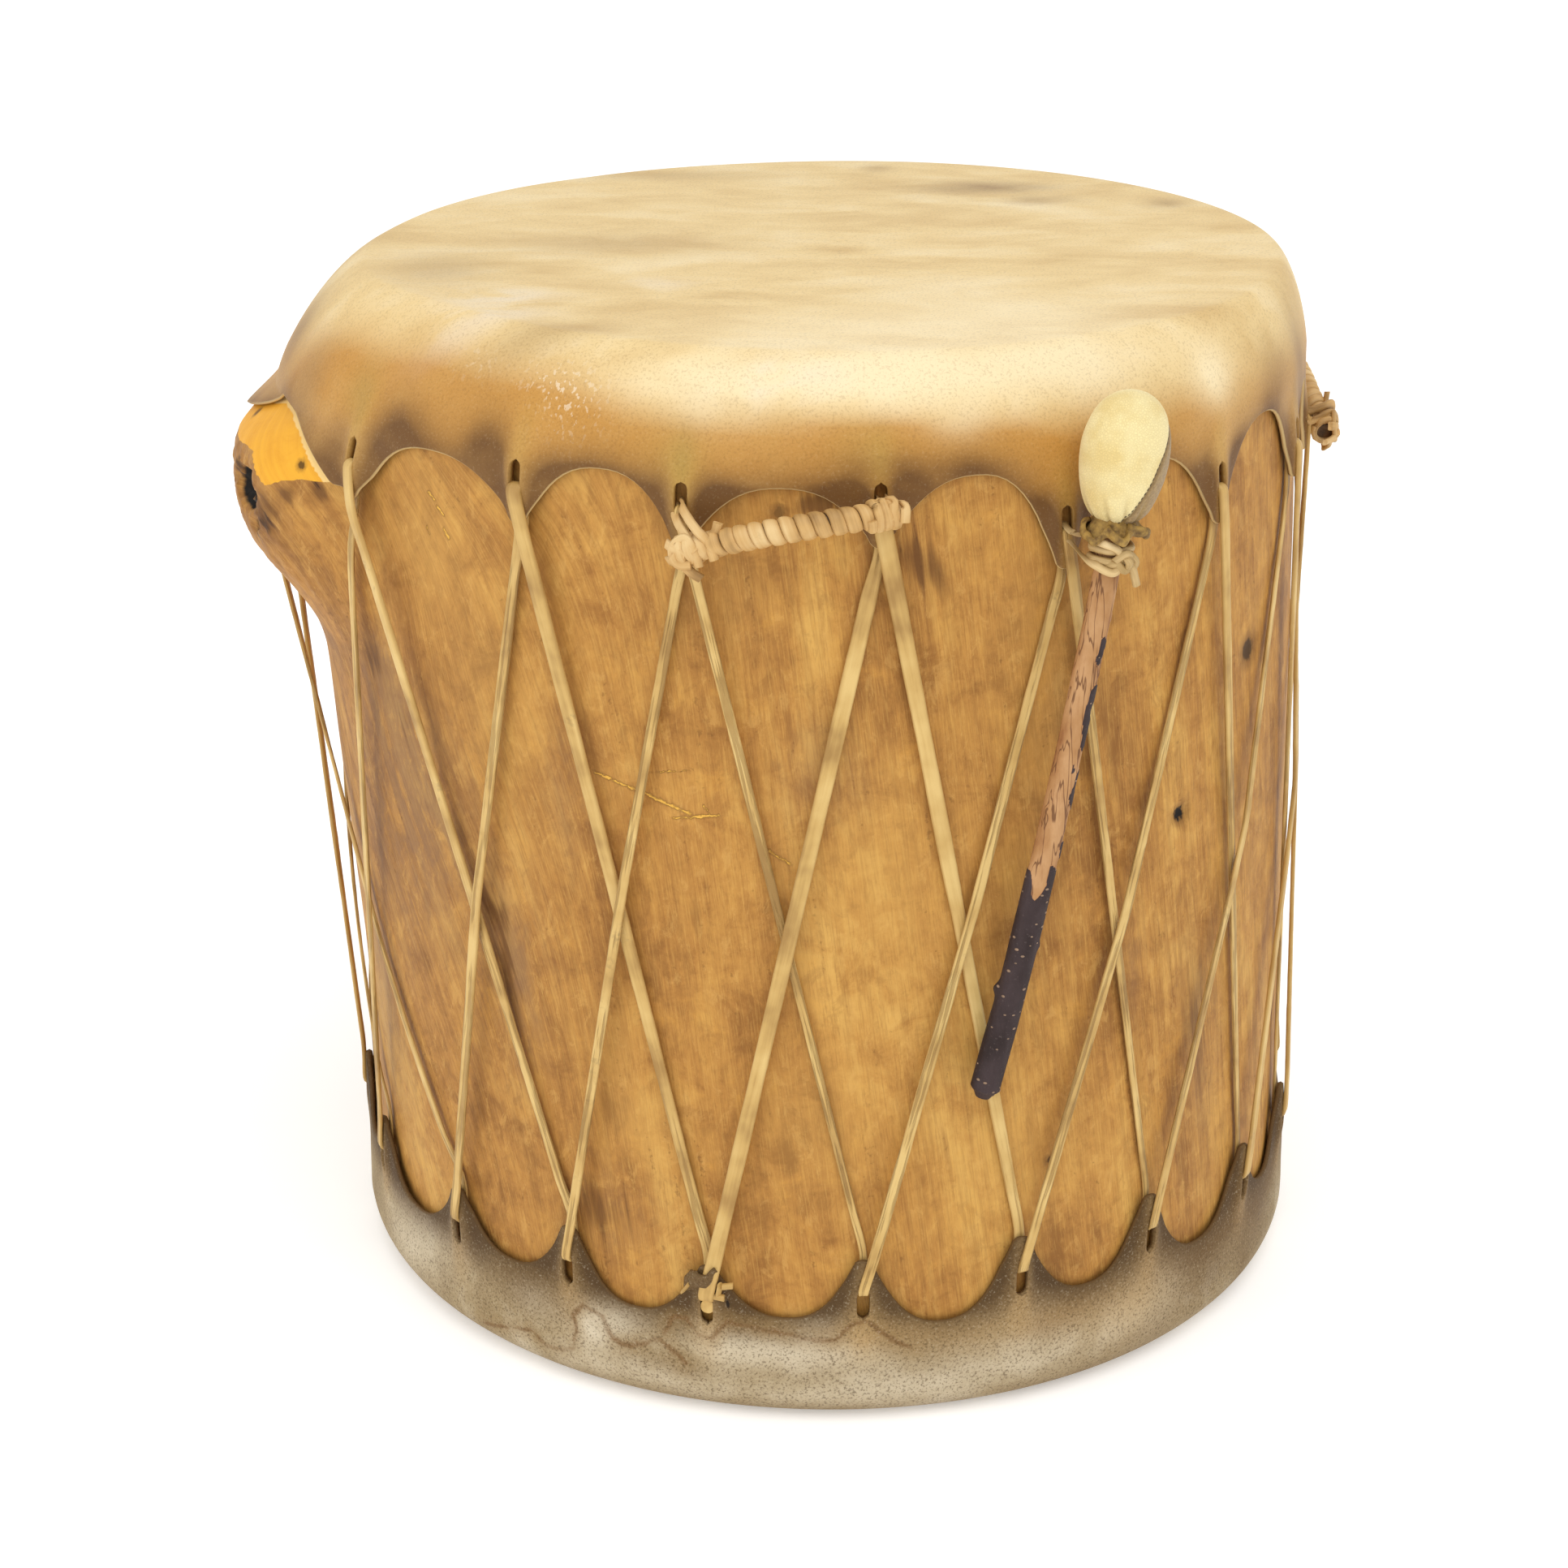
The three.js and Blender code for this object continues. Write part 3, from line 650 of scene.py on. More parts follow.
def patches_on(points: Array, patches: Sequence[Patch]) -> Array:
    """Sum of several patches, held from 0 to 1."""
    total = np.zeros(points.shape[:-1])
    for patch in patches:
        total += patch.on(points)
    return np.clip(total, 0, 1)


# The log's form and the places of the tabs


@dataclass(frozen=True)
class Knob:
    """The stub of a branch on the log's side."""

    angle: float = -79.5 * DEG
    height: float = 387.6
    out: float = 34.8
    spread: float = 16.4 * DEG
    spread_behind: float = 20.9 * DEG
    rise: float = 33.3
    fall: float = 52.0
    power: float = 2.9


class Rounding(Enum):
    """What a size of the shoulder's rounding says."""

    INWARD = 0
    DOWN = 1
    POWER = 2


@dataclass(frozen=True)
class LogForm:
    """The log's skin, as a radius for an angle from the front and a height."""

    height: float = 480.0
    foot_radius: float = 229.5
    rim_radius: float = 215.4
    bore_radius: float = 184.0
    hide: float = 2.4
    fit: float = 0.4
    swell_angle: float = -89 * DEG
    swell_out: float = 28.5
    back_out: float = 3.3
    shoulder: Triple = (22.6, 40.0, 1.6)
    shoulder_at_swell: Triple = (16.0, 11.6, -0.3)
    shoulder_swell_angle: float = -73 * DEG
    shoulder_tight: Triple = (-15.8, -1.0, 0.0)
    tight_angle: float = 126 * DEG
    foot: Pair = (12.0, 14.0)
    skirt_top: float = 438.0
    strip: float = 1.15 * DEG
    knob: Knob = field(default_factory=Knob)

    @property
    def top(self) -> float:
        """Height of the wood's upper end."""
        return self.height - self.hide - self.fit

    @property
    def bottom(self) -> float:
        """Height of the wood's lower end."""
        return self.hide + self.fit

    def swell(self, angle: Number) -> Number:
        """How much of the left swelling an angle has."""
        return np.maximum(0, np.cos(angle - self.swell_angle)) ** 2

    def shoulder_size(self, angle: Number, way: Rounding) -> Number:
        """One size of the upper rounding at an angle."""
        swelled = np.maximum(0, np.cos(angle - self.shoulder_swell_angle)) ** 2
        tight = np.maximum(0, np.cos(angle - self.tight_angle))
        sizes = (self.shoulder, self.shoulder_at_swell, self.shoulder_tight)
        base, grown, less = (size[way.value] for size in sizes)
        return base + grown * swelled + less * tight

    def knob_share(self, angle: Number, z: Number) -> Number:
        """How much of the knob a place has, from 0 to 1."""
        aside = wrap(angle - self.knob.angle)
        across = np.abs(aside) / np.where(aside > 0, self.knob.spread, self.knob.spread_behind)
        dz = z - self.knob.height
        along = np.abs(dz) / np.where(dz > 0, self.knob.rise, self.knob.fall)
        return np.exp(-(across**self.knob.power) - along**self.knob.power)

    def side_radius(self, angle: Number, z: Number) -> Number:
        """Radius of the side before the ends are rounded."""
        taper = lerp(self.foot_radius, self.rim_radius, np.clip(z / self.height, 0, 1)) - self.hide - self.fit
        grown = self.swell_out * self.swell(angle) * smooth(0.08 * self.height, 0.92 * self.height, z)
        rear = self.back_out * np.maximum(0, -np.cos(angle)) ** 2
        return taper + grown + self.knob.out * self.knob_share(angle, z) + rear

    def wood_radius(self, angle: Number, z: Number) -> Number:
        """Radius of the skin, with the rounded shoulder."""
        down = self.shoulder_size(angle, Rounding.DOWN)
        power = self.shoulder_size(angle, Rounding.POWER)
        start = self.top - down
        q = np.clip((z - start) / down, 0, 1)
        across = (1 - q**power) ** (1 / power)
        rounded = self.side_radius(angle, start) - self.shoulder_size(angle, Rounding.INWARD) * (1 - across)
        return np.where(z <= start, self.side_radius(angle, z), rounded)

    def strip_radius(self, angle: Number, z: Number) -> Number:
        """Radius that clears the wood over a strip as wide as a tab."""
        sides = [self.wood_radius(angle + k * self.strip, z) for k in (-1, 0, 1)]
        return np.maximum(np.maximum(sides[0], sides[1]), sides[2])

    def shoulder_point(self, angle: Number, share: Number, gap: Number) -> Array:
        """Point over the upper rounding, a share of the way from the skirt to the flat top."""
        inward, down = self.shoulder_size(angle, Rounding.INWARD), self.shoulder_size(angle, Rounding.DOWN)
        bend = 2 / self.shoulder_size(angle, Rounding.POWER)
        begun = np.clip((self.skirt_top - self.top + down) / down, 0, 1) ** (1 / bend)
        beta = lerp(np.arcsin(begun), 0.5 * math.pi, share)
        start = self.top - down
        out = np.maximum(0, np.cos(beta)) ** bend
        reach = self.side_radius(angle, start) - inward + (inward + gap) * out
        return polar(angle, reach, start + (down + gap) * np.sin(beta) ** bend)

    def foot_point(self, angle: Number, share: Number, gap: Number) -> Array:
        """Point under the lower rounding, a share of the way from the skirt to the flat bottom."""
        inward, up = self.foot
        beta = share * 0.5 * math.pi
        start = self.bottom + up
        reach = self.side_radius(angle, start) - inward + (inward + gap) * np.cos(beta)
        return polar(angle, reach, start - (up + gap) * np.sin(beta))

    def on_wood(self, degrees: float, z: float, lift: float = 0.0) -> Array:
        """Point on the skin at an angle in degrees and a height."""
        angle = degrees * DEG
        return polar(angle, float(self.wood_radius(angle, z)) + lift, z)


@dataclass(frozen=True)
class Tab:
    """One lacing tab; point is -1 if it points down and 1 if it points up."""

    angle: float
    tip: float
    point: int
    bar: float = 13.5
    slot: float = 15.0

    @property
    def slot_near(self) -> float:
        """Height of the slot's end at the tip."""
        return self.tip - self.point * self.bar

    @property
    def slot_far(self) -> float:
        """Height of the slot's other end."""
        return self.tip - self.point * (self.bar + self.slot)


TAB_COUNT = 18
UPPER_CUT = (
    (-98, 400), (-58, 400), (-35, 407), (-16.5, 405), (4.5, 406),
    (25.3, 391), (48, 394.5), (69, 395), (86.5, 389),
)
LOWER_CUT = (
    (-86, 78), (-68.5, 77), (-48.5, 76), (-31, 81), (-14, 76),
    (3.3, 82), (21.4, 85), (39, 86.5), (57.7, 82.5), (73, 86),
)


def tabs_of(cut: Sequence[Pair], point: int, tip: float, slot: float) -> List[Tab]:
    """Tabs given one by one at the front, and the rest spread evenly behind.

    Args:
        cut: Angle in degrees and height of the tip of each tab at the front.
        point: Which way the tabs point.
        tip: Height of the tips behind.
        slot: Length of the slots.

    Returns:
        All the tabs of one head.
    """
    tabs = [Tab(degrees * DEG, height, point, slot=slot) for degrees, height in cut]
    last = cut[-1][0]
    gap = (cut[0][0] + 360 - last) / (TAB_COUNT - len(cut) + 1)
    for i in range(len(cut), TAB_COUNT):
        degrees = last + gap * (i - len(cut) + 1)
        tabs.append(Tab(degrees * DEG, tip + 4 * math.sin(2.4 * i), point, slot=slot))
    return tabs


FORM = LogForm()
UPPER_TABS = tabs_of(UPPER_CUT, -1, 400, 13.0)
LOWER_TABS = tabs_of(LOWER_CUT, 1, 80, 15.0)


# Finishes


@dataclass(frozen=True)
class Gouge:
    """A fresh scratch in the wood: its ends as degrees and height, and its width."""

    start: Pair
    end: Pair
    width: float = 1.6


@dataclass(frozen=True)
class WoodKnot:
    """A small knot or hole in the wood, which may be black and deep; its black core is partly the knot's own
    colour and partly painted shade inside the hole.
    """

    degrees: float
    z: float
    radius: float
    depth: float
    black: float


KNOTS = (
    WoodKnot(43.9, 264.6, 4.4, 2.2, 1.0),
    WoodKnot(58.1, 325.6, 6.5, 1.2, 0.75),
    WoodKnot(-6.3, 418.8, 3.0, 1.0, 0.3),
    WoodKnot(25.5, 117.2, 2.6, 0.8, 0.7),
    WoodKnot(-65.9, 406.9, 2.4, 0.7, 0.7),
    WoodKnot(-81.4, 413.5, 2.6, 0.4, 0.5),
)
GOUGES = (
    Gouge((-27.4, 300.6), (-21.5, 294.0), 1.3),
    Gouge((-21.5, 294.0), (-16.1, 286.7), 1.7),
    Gouge((-18.0, 284.1), (-12.9, 287.0), 1.3),
    Gouge((-14.6, 291.0), (-13.9, 287.2), 1.0),
    Gouge((-7.5, 272.6), (-4.9, 266.4), 1.4),
    Gouge((-48.0, 409.8), (-47.2, 407.0), 1.5),
    Gouge((-46.8, 404.6), (-45.9, 401.6), 1.3),
    Gouge((-48.5, 394.0), (-48.1, 391.2), 1.1),
    Gouge((-45.9, 395.4), (-45.2, 391.8), 1.3),
    Gouge((-21.0, 303.5), (-16.0, 306.0), 0.8),
)
FACET_EDGE = (
    (-92, 402), (-80, 402.5), (-75.5, 405.5), (-73.6, 405), (-71.6, 398.5), (-69.8, 394), (-67.6, 398.5),
    (-65.4, 401), (-62, 402.5),
)
KNOB_RIM = ((-79, 423.5), (-76, 427), (-72, 426), (-67.8, 421), (-65.5, 415), (-63.3, 408), (-61.4, 401))


@dataclass(frozen=True)
class LogWood:
    """Bare, hand-smoothed cottonwood with streaks, stains and a sanded knob."""

    deep: str = "8a5d2c"
    body: str = "b17d3d"
    honey: str = "c08c45"
    straw: str = "d3a457"
    umber: str = "64401f"
    slate: str = "816148"
    sanded: str = "eaab33"
    sapwood: str = "f0d08c"
    # Near-black of the pit and the knot cores: partly their own dark, partly painted shade inside the
    # hollows.
    black: str = "120c08"
    fresh: str = "ecb650"
    russet: str = "85562a"
    bronze: str = "8c5f2d"
    wheat: str = "d8a95e"
    amber: str = "c98f3e"
    chestnut: str = "8f5d28"
    sooty: str = "3c2410"
    sanded_dark: str = "db9529"

    def make(self) -> Material:
        """Builds the material."""
        s = Skin("log_wood")
        here, grain = s.here(), s.way("grain")
        broad = s.noise(grain.scaled((1, 1, 0.3)), 13.0, 5.0, 0.62, 0.9)
        bands = s.noise(grain.scaled((1, 1, 0.08)), 60.0, 4.0, 0.6, 0.6)
        fibre = s.noise(grain.scaled((1, 1, 0.045)), 420.0, 3.0, 0.62)
        hair = s.noise(grain.scaled((1, 1, 0.05)), 1500.0, 2.0, 0.6)
        brush = s.noise(grain.scaled((1, 1, 0.075)), 170.0, 4.0, 0.6, 0.5)
        cloud = s.noise(here, 42.0, 7.0, 0.72, 0.4)
        fleck = s.noise(here, 420.0, 3.0)
        mottle = s.noise(here.scaled((1, 1, 0.55)), 120.0, 7.0, 0.74, 0.5)
        tone = (broad * 0.5 + bands * 0.2 + cloud * 0.4).clip()
        colour = s.ramp(tone, (0.44, self.deep), (0.52, self.body), (0.585, self.honey), (0.67, self.straw))
        stripes = s.noise(grain.scaled((1, 1, 0.5)), 8.0, 3.0).step(0.42, 0.62)
        streaky = (stripes * 0.7 + s.mask("slate") * 0.6).clip()
        lines = fibre.step(0.38, 0.60)
        slate = s.mask("slate") * 1.5 * (bands * 0.4 + broad * 0.3 + mottle * 0.3).step(0.40, 0.60)
        umber = (s.mask("umber") + (brush - 0.5) * 1.2 + (cloud - 0.5) * 0.5).step(0.28, 0.78)
        soot = (s.mask("soot") + (brush - 0.5) * 1.4 + (fibre - 0.5) * 0.5).step(0.4, 0.66)
        colour = s.tint(
            colour,
            ((1 - lines) * (0.13 + streaky * 0.27), self.deep),
            (brush.step(0.52, 0.68) * (0.04 + streaky * 0.46), self.russet),
            ((1 - brush.step(0.34, 0.47)) * (0.04 + streaky * 0.3), self.straw),
            (mottle.step(0.51, 0.64) * 0.36, self.bronze),
            ((1 - mottle.step(0.36, 0.47)) * 0.34, self.wheat),
            (cloud.step(0.55, 0.68) * 0.3, self.amber),
            ((1 - cloud.step(0.33, 0.46)) * 0.3, self.chestnut),
            (hair.step(0.52, 0.66) * 0.24, self.straw),
            ((1 - hair.step(0.34, 0.46)) * 0.24, self.deep),
            ((s.mask("straw") * (0.4 + broad * 1.1)).clip() * 0.6, self.straw),
            (slate.clip() * 0.6, self.slate),
            (umber * 0.8, self.umber),
            (soot * 0.85, self.sooty),
            ((fleck * 0.5 + brush * 0.5).step(0.60, 0.68) * 0.4, self.umber),
        )
        edge = (cloud - 0.5) * 0.6 + (fibre - 0.5) * 0.3
        facet = (s.mask("facet") + edge * 0.6).step(0.44, 0.56)
        sap = (s.mask("sap") + edge).step(0.40, 0.62)
        dimmed = (1 - lines) * 0.3 + cloud.step(0.45, 0.65) * 0.4
        bright = s.tint(srgb(self.sanded), (dimmed, self.sanded_dark), (sap * 0.85, self.sapwood))
        colour = s.blend(facet, colour, bright)
        # The rotted pit is blackened: partly the rot's own dark, partly painted shade inside the hollow.
        colour = s.tint(colour, ((s.mask("pit_rot_and_shade") + edge * 0.8).step(0.22, 0.45), self.black))
        rough, relief = 0.5 + fleck * 0.14, fibre * 0.4 + hair * 0.2 + brush * 0.2 + mottle * 0.3
        ragged = s.shaken(here, 500.0, 2.4)
        for gouge in GOUGES:
            gap = s.stroke(ragged, FORM.on_wood(*gouge.start), FORM.on_wood(*gouge.end), gouge.width)
            cut = 1 - gap.step(0.4, 1.2)
            # The umber beside each gouge is a painted shadow along the nick; the cut itself shows fresh wood.
            colour = s.tint(colour, ((1 - gap.step(1.0, 2.2)) * 0.3, self.umber), (cut * 0.9, self.fresh))
            relief = relief - cut * 1.4
        for knot in KNOTS:
            gap = s.spot(ragged, FORM.on_wood(knot.degrees, knot.z), knot.radius) + (fibre - 0.5) * 0.5
            halo = 1 - gap.step(0.8, 1.9)
            core = 1 - gap.step(0.6, 0.95)
            # The halo is the knot's own ring; the black core is partly the knot's colour, partly painted
            # shade inside the hole.
            colour = s.tint(colour, (halo * 0.5, self.umber), (core * knot.black, self.black))
        return s.surface(colour, rough, relief, 0.45, Specular_IOR_Level=0.18)


TIDE_LINES = (
    ((-46, 10), (-36.5, 20.5), (-34, 15), (-30.7, 19), (-30.2, 28), (-30.6, 36), (-29.3, 43), (-27, 40.5),
     (-25.7, 30.5), (-24.4, 28.5), (-19.4, 35), (-16.7, 24.5)),
    ((-19, 39), (-18, 47.5), (-16.4, 47.5), (-15.2, 41.5), (-13.4, 41.5), (-11.5, 50), (-8.3, 47.5),
     (-3.2, 43), (0.4, 42.5), (2, 52), (4, 52.5), (6.8, 41), (9.2, 37)),
)


@dataclass(frozen=True)
class Rawhide:
    """Dried rawhide, mottled, darker towards its cut edge and pale on the cut itself."""

    name: str
    pale: str
    body: str
    tan: str
    gold: str
    olive: str
    dusk: str
    smoke: str
    cut: str
    rough: float
    sand: float
    tides: Tuple[Tuple[Pair, ...], ...] = ()
    haze: str = "e3d6c6"
    nick: str = "f1e2c8"
    # Near-black for the small holes: painted shade on spots where no hole is cut.
    hole: str = "241809"
    stain: str = "8f7347"
    tide: str = "76552f"

    def make(self) -> Material:
        """Builds the material."""
        s = Skin(self.name)
        here = s.here()
        drift = s.noise(here.scaled((0.8, 1.5, 1.4)), 12.0, 4.0, 0.5, 0.6)
        cloud = s.noise(here.scaled((0.7, 1.3, 1.0)), 36.0, 4.0, 0.6, 0.4)
        sand = s.noise(here, 900.0, 3.0, 0.65)
        pore = s.noise(here, 1700.0, 2.0, 0.6)
        tone = (drift * 0.65 + cloud * 0.35).clip()
        colour = s.ramp(tone, (0.32, self.tan), (0.50, self.body), (0.72, self.pale))
        # The pale mask holds pale spots of the hide and, on the upper head, a painted highlight along the
        # front of the rounded edge.
        for name, code, strength in (
            ("gold", self.gold, 0.9), ("pale", self.pale, 0.95), ("olive", self.olive, 0.8),
            ("smoke", self.smoke, 0.9), ("dusk", self.dusk, 0.95),
        ):
            mask = s.mask(name)
            share = (mask + (cloud * 0.6 + drift * 0.4 - 0.5) * (mask * 1.6).clip()).clip()
            colour = s.tint(colour, (share * strength, code))
        colour = s.tint(colour, ((s.mask("haze") * cloud.step(0.36, 0.6)).clip() * 0.6, self.haze))
        for tide in self.tides:
            colour = self._tide_line(s, here, tide, colour)
        comb = s.noise(here.scaled((1, 1, 0.45)), 480.0, 2.0).step(0.57, 0.64)
        colour = s.tint(
            colour,
            ((1 - sand.step(0.34, 0.5)) * self.sand, self.dusk),
            (sand.step(0.56, 0.7) * self.sand * 0.4, self.pale),
            ((s.mask("fleck") * comb).clip() * 0.5, self.nick),
            (s.mask("cut").step(0.2, 0.9) * 0.8, self.cut),
            # The holes are painted shade: near-black spots where no hole is cut in the mesh.
            (s.mask("hole").step(0.35, 0.6), self.hole),
        )
        height = sand * 0.5 + pore * 0.35 + cloud * 0.5
        return s.surface(colour, self.rough + sand * 0.16, height, 0.3, Specular_IOR_Level=0.22)

    def _tide_line(self, s: Skin, here: Sock, tide: Sequence[Pair], colour: Sock) -> Sock:
        """Adds a brown line where water dried, with a soft stain beside it."""
        ragged = s.shaken(s.shaken(here, 60.0, 7.0), 400.0, 1.6)
        spots = [FORM.on_wood(degrees, z, 4.0) for degrees, z in tide]
        gap = s.stroke(ragged, spots[0], spots[1], 3.4)
        for first, last in zip(spots[1:], spots[2:]):
            gap = gap.least(s.stroke(ragged, first, last, 3.4))
        worn = s.noise(here, 40.0, 3.0).step(0.3, 0.55)
        stain, line = (1 - gap.step(0.5, 5.0)) * worn * 0.4, (1 - gap.step(0.2, 1.2)) * (0.25 + worn * 0.5)
        return s.tint(colour, (stain, self.stain), (line, self.tide))


@dataclass(frozen=True)
class Thong:
    """A hand-cut strip of rawhide, darker at its edges, with grooves along its rougher side."""

    name: str
    pale: str
    body: str
    shade: str
    groove: str = "94713a"
    grime: float = 0.3
    dirt: str = "6f5836"

    def make(self) -> Material:
        """Builds the material."""
        s = Skin(self.name)
        here, along, across = s.here(), s.mask("along"), s.mask("across")
        axes = {0: across * 0.0022, 1: along * 0.035, 2: s.mask("side") * 0.001}
        run = s.node("ShaderNodeCombineXYZ", {}, axes)
        streak = s.noise(run, 620.0, 3.0, 0.6)
        mottle = s.noise(here, 34.0, 3.0, 0.55)
        speck = s.noise(here, 500.0, 3.0)
        tone = (mottle * 0.75 + streak * 0.28).clip()
        colour = s.ramp(tone, (0.36, self.shade), (0.5, self.body), (0.64, self.pale))
        edge = across.size().step(0.7, 1.0)
        groove = (1 - streak.step(0.40, 0.5)) * s.mask("reverse")
        dirt = s.noise(here, 60.0, 3.0).step(0.62, 0.72) * speck.step(0.42, 0.6)
        colour = s.tint(colour, (edge * 0.4, self.shade), (groove * 0.6, self.groove))
        colour = s.tint(colour, (dirt * self.grime, self.dirt))
        height = streak * 0.5 + speck * 0.35 - groove * 0.8
        return s.surface(colour, 0.46 + speck * 0.15, height, 0.35, Specular_IOR_Level=0.4)


@dataclass(frozen=True)
class Branch:
    """A branch with its bark peeled off the upper part and flecks of bark left on."""

    peeled: str = "b08254"
    pink: str = "c29669"
    inner: str = "8f5d38"
    bark: str = "2d2221"
    bark_grey: str = "46393a"
    crack: str = "5e3822"
    cork: str = "756763"
    rim: str = "a8744f"

    def make(self) -> Material:
        """Builds the material."""
        s = Skin("branch")
        here, bark = s.here(), s.mask("bark")
        fibre = s.noise(here.scaled((1, 1, 0.1)), 420.0, 4.0, 0.65)
        patch = s.noise(here.scaled((1, 1, 0.5)), 70.0, 4.0, 0.6)
        speck = s.noise(here, 700.0, 2.0)
        wood = s.ramp(patch, (0.34, self.inner), (0.5, self.peeled), (0.68, self.pink))
        crack = 1 - ((s.noise(here.scaled((1, 1, 0.06)), 260.0, 2.0) - 0.5) / 0.03).size().step(0.3, 1.0)
        wood = s.tint(wood, (fibre.step(0.52, 0.72) * 0.4, self.inner), (crack * 0.75, self.crack))
        skin = s.ramp(patch, (0.35, self.bark), (0.7, self.bark_grey))
        skin = s.tint(skin, (speck.step(0.62, 0.75) * 0.25, self.cork))
        on = (bark + (fibre - 0.5) * 0.25).step(0.42, 0.58)
        rim = 1 - ((bark - 0.42) / 0.16).size().step(0.2, 1.0)
        colour = s.tint(s.blend(on, wood, skin), (rim * 0.45, self.rim))
        return s.surface(colour, 0.55 + speck * 0.15, fibre * 0.6 + speck * 0.3, 0.45, Specular_IOR_Level=0.2)


@dataclass(frozen=True)
class PadLeather:
    """Soft cream leather at the front and brown suede on the back panel."""

    cream: str = "f0dea4"
    butter: str = "e4cb88"
    suede: str = "b79a68"
    crease: str = "6a5430"
    suede_dark: str = "8b7048"
    # Colour of the painted shade in the pleats at the neck.
    gathered: str = "a58a50"

    def make(self) -> Material:
        """Builds the material."""
        s = Skin("pad_leather")
        here = s.here()
        mottle = s.noise(here, 60.0, 3.0)
        grain = s.node(
            "ShaderNodeTexVoronoi", {"feature": "DISTANCE_TO_EDGE"}, {"Vector": here, "Scale": 900.0}
        ).step(0.0, 0.25)
        nap = s.noise(here, 800.0, 4.0, 0.7)
        front = s.ramp(mottle, (0.36, self.butter), (0.6, self.cream))
        front = s.tint(front, ((1 - grain) * 0.12, self.crease))
        back = s.tint(srgb(self.suede_dark), (nap.step(0.35, 0.65) * 0.55, self.suede))
        panel = s.mask("panel")
        colour = s.blend(panel.step(0.45, 0.55), front, back)
        # The seam line is darkened as a joint; the pleats at the neck are darkened as painted shade in their
        # folds.
        colour = s.tint(colour, (s.mask("seam") * 0.75, self.crease), (s.mask("pleat_shade") * 0.6, self.gathered))
        height = grain * 0.5 * (1 - panel) + nap * panel * 1.2
        return s.surface(colour, 0.52 + nap * 0.2, height, 0.2, Sheen_Weight=0.12, Specular_IOR_Level=0.35)


@dataclass(frozen=True)
class Plain:
    """A small plain finish with a little mottling, for stitches, lenticels and the frill."""

    name: str
    body: str
    shade: str
    rough: float = 0.65

    def make(self) -> Material:
        """Builds the material."""
        s = Skin(self.name)
        here = s.here()
        mottle = s.noise(here, 190.0, 4.0, 0.65)
        colour = s.ramp(mottle, (0.36, self.shade), (0.62, self.body))
        return s.surface(colour, self.rough + mottle * 0.1, s.noise(here, 900.0, 2.0), 0.2)


UPPER_RAWHIDE = Rawhide(
    "upper_rawhide", "f1deb4", "e4c88f", "d0ae72", "bd8432", "a98a44", "664420", "917048", "dec389", 0.4, 0.2
)
LOWER_RAWHIDE = Rawhide(
    "lower_rawhide", "d6c8ad", "a08b66", "826a45", "70532b", "b39260", "4c361b", "7a6347", "654c2b", 0.6, 0.6,
    TIDE_LINES,
)
LACING_THONG = Thong("lacing_thong", "dab975", "c8a35f", "a47e43")
GRIP_THONG = Thong("grip_thong", "dfbf88", "cba265", "906b39", "6f5128", 0.25)
TIE_THONG = Thong("tie_thong", "e8d0a0", "d8ba84", "a98a54", "8b6a36", 0.1)
TORN_RIM = (
    (-16.8, 68), (-15.8, 73.9), (-14.9, 75.2), (-14.6, 73.8),
    (-13.9, 73.8), (-13.5, 76), (-13, 78.3), (-12.6, 76),
)
LOG_STAINS = {
    "umber": patches(
        (8.5, 400, 8, 12, 0.75), (10.5, 392, 6, 11, 0.7), (12.5, 384, 5, 10, 0.65),
        (4, 404, 8, 16, 0.7), (-1, 424, 11, 6, 0.8), (-3, 421, 10, 7, 0.4),
        (-39.6, 199, 5, 28, 0.95), (-40.8, 222, 8, 8, 0.6), (-28, 92, 22, 18, 0.6),
        (-70, 382, 17, 14, 0.8), (-63.1, 398, 7, 9, 0.9), (-66.5, 394, 7, 5, 0.8), (-46, 397, 11, 18, 0.4),
        (-60, 322, 13, 13, 0.65), (-54, 300, 8, 16, 0.55), (-50, 276, 7, 16, 0.55),
        (-46, 252, 7, 16, 0.6), (-43, 232, 6, 14, 0.6), (-38, 172, 6, 20, 0.5),
        (-16, 239, 12, 14, 0.4), (-30.5, 272, 9, 8, 0.6),
        (48.8, 155, 8, 55, 0.5), (60, 300, 10, 50, 0.35), (-34.6, 407, 9, 10, 0.5),
    ),
    "soot": patches(
        (5.4, 405, 4.5, 9, 0.85), (7.2, 400, 3.5, 7, 0.6), (3.2, 397, 3.5, 6, 0.7),
        (-39.6, 200, 2.5, 16, 0.6), (-47.4, 408, 3, 6, 0.55), (-45.2, 391, 3, 5, 0.6),
        (-70, 376, 9, 9, 0.7), (-77, 394, 7, 12, 0.8), (-63.6, 399, 4, 6, 0.6),
        (-72.6, 369, 6, 9, 0.6), (-68.4, 391, 5, 4, 0.5),
    ),
    "straw": patches(
        (-26, 171, 10, 26, 0.7), (-21, 137, 16, 18, 0.7), (-13, 395, 22, 34, 0.35),
        (24, 345, 24, 60, 0.5), (8, 250, 36, 60, 0.3), (-40, 330, 26, 40, 0.45),
        (20, 120, 36, 40, 0.4), (2, 262, 30, 24, 0.2), (-48, 388, 24, 28, 0.5),
        (-2, 148, 26, 36, 0.45),
    ),
    "slate": patches(
        (-52.4, 258, 36, 60, 0.9), (-39, 190, 20, 50, 0.75), (-66, 180, 34, 80, 0.6),
        (-60, 318, 22, 20, 0.8), (-57, 290, 20, 26, 0.7), (48, 150, 20, 55, 0.5),
        (37, 204, 6, 24, 0.7), (-26, 92, 22, 24, 0.5), (-30, 290, 14, 36, 0.45),
        (-72, 372, 14, 20, 0.7), (-75.1, 400, 8, 8, 1.0), (-80.5, 416, 7, 6, 1.0), (150, 240, 80, 90, 0.5),
        (-130, 200, 60, 110, 0.5), (-2, 308, 22, 24, 0.4), (-60, 268, 26, 30, 0.8),
    ),
}


# The log


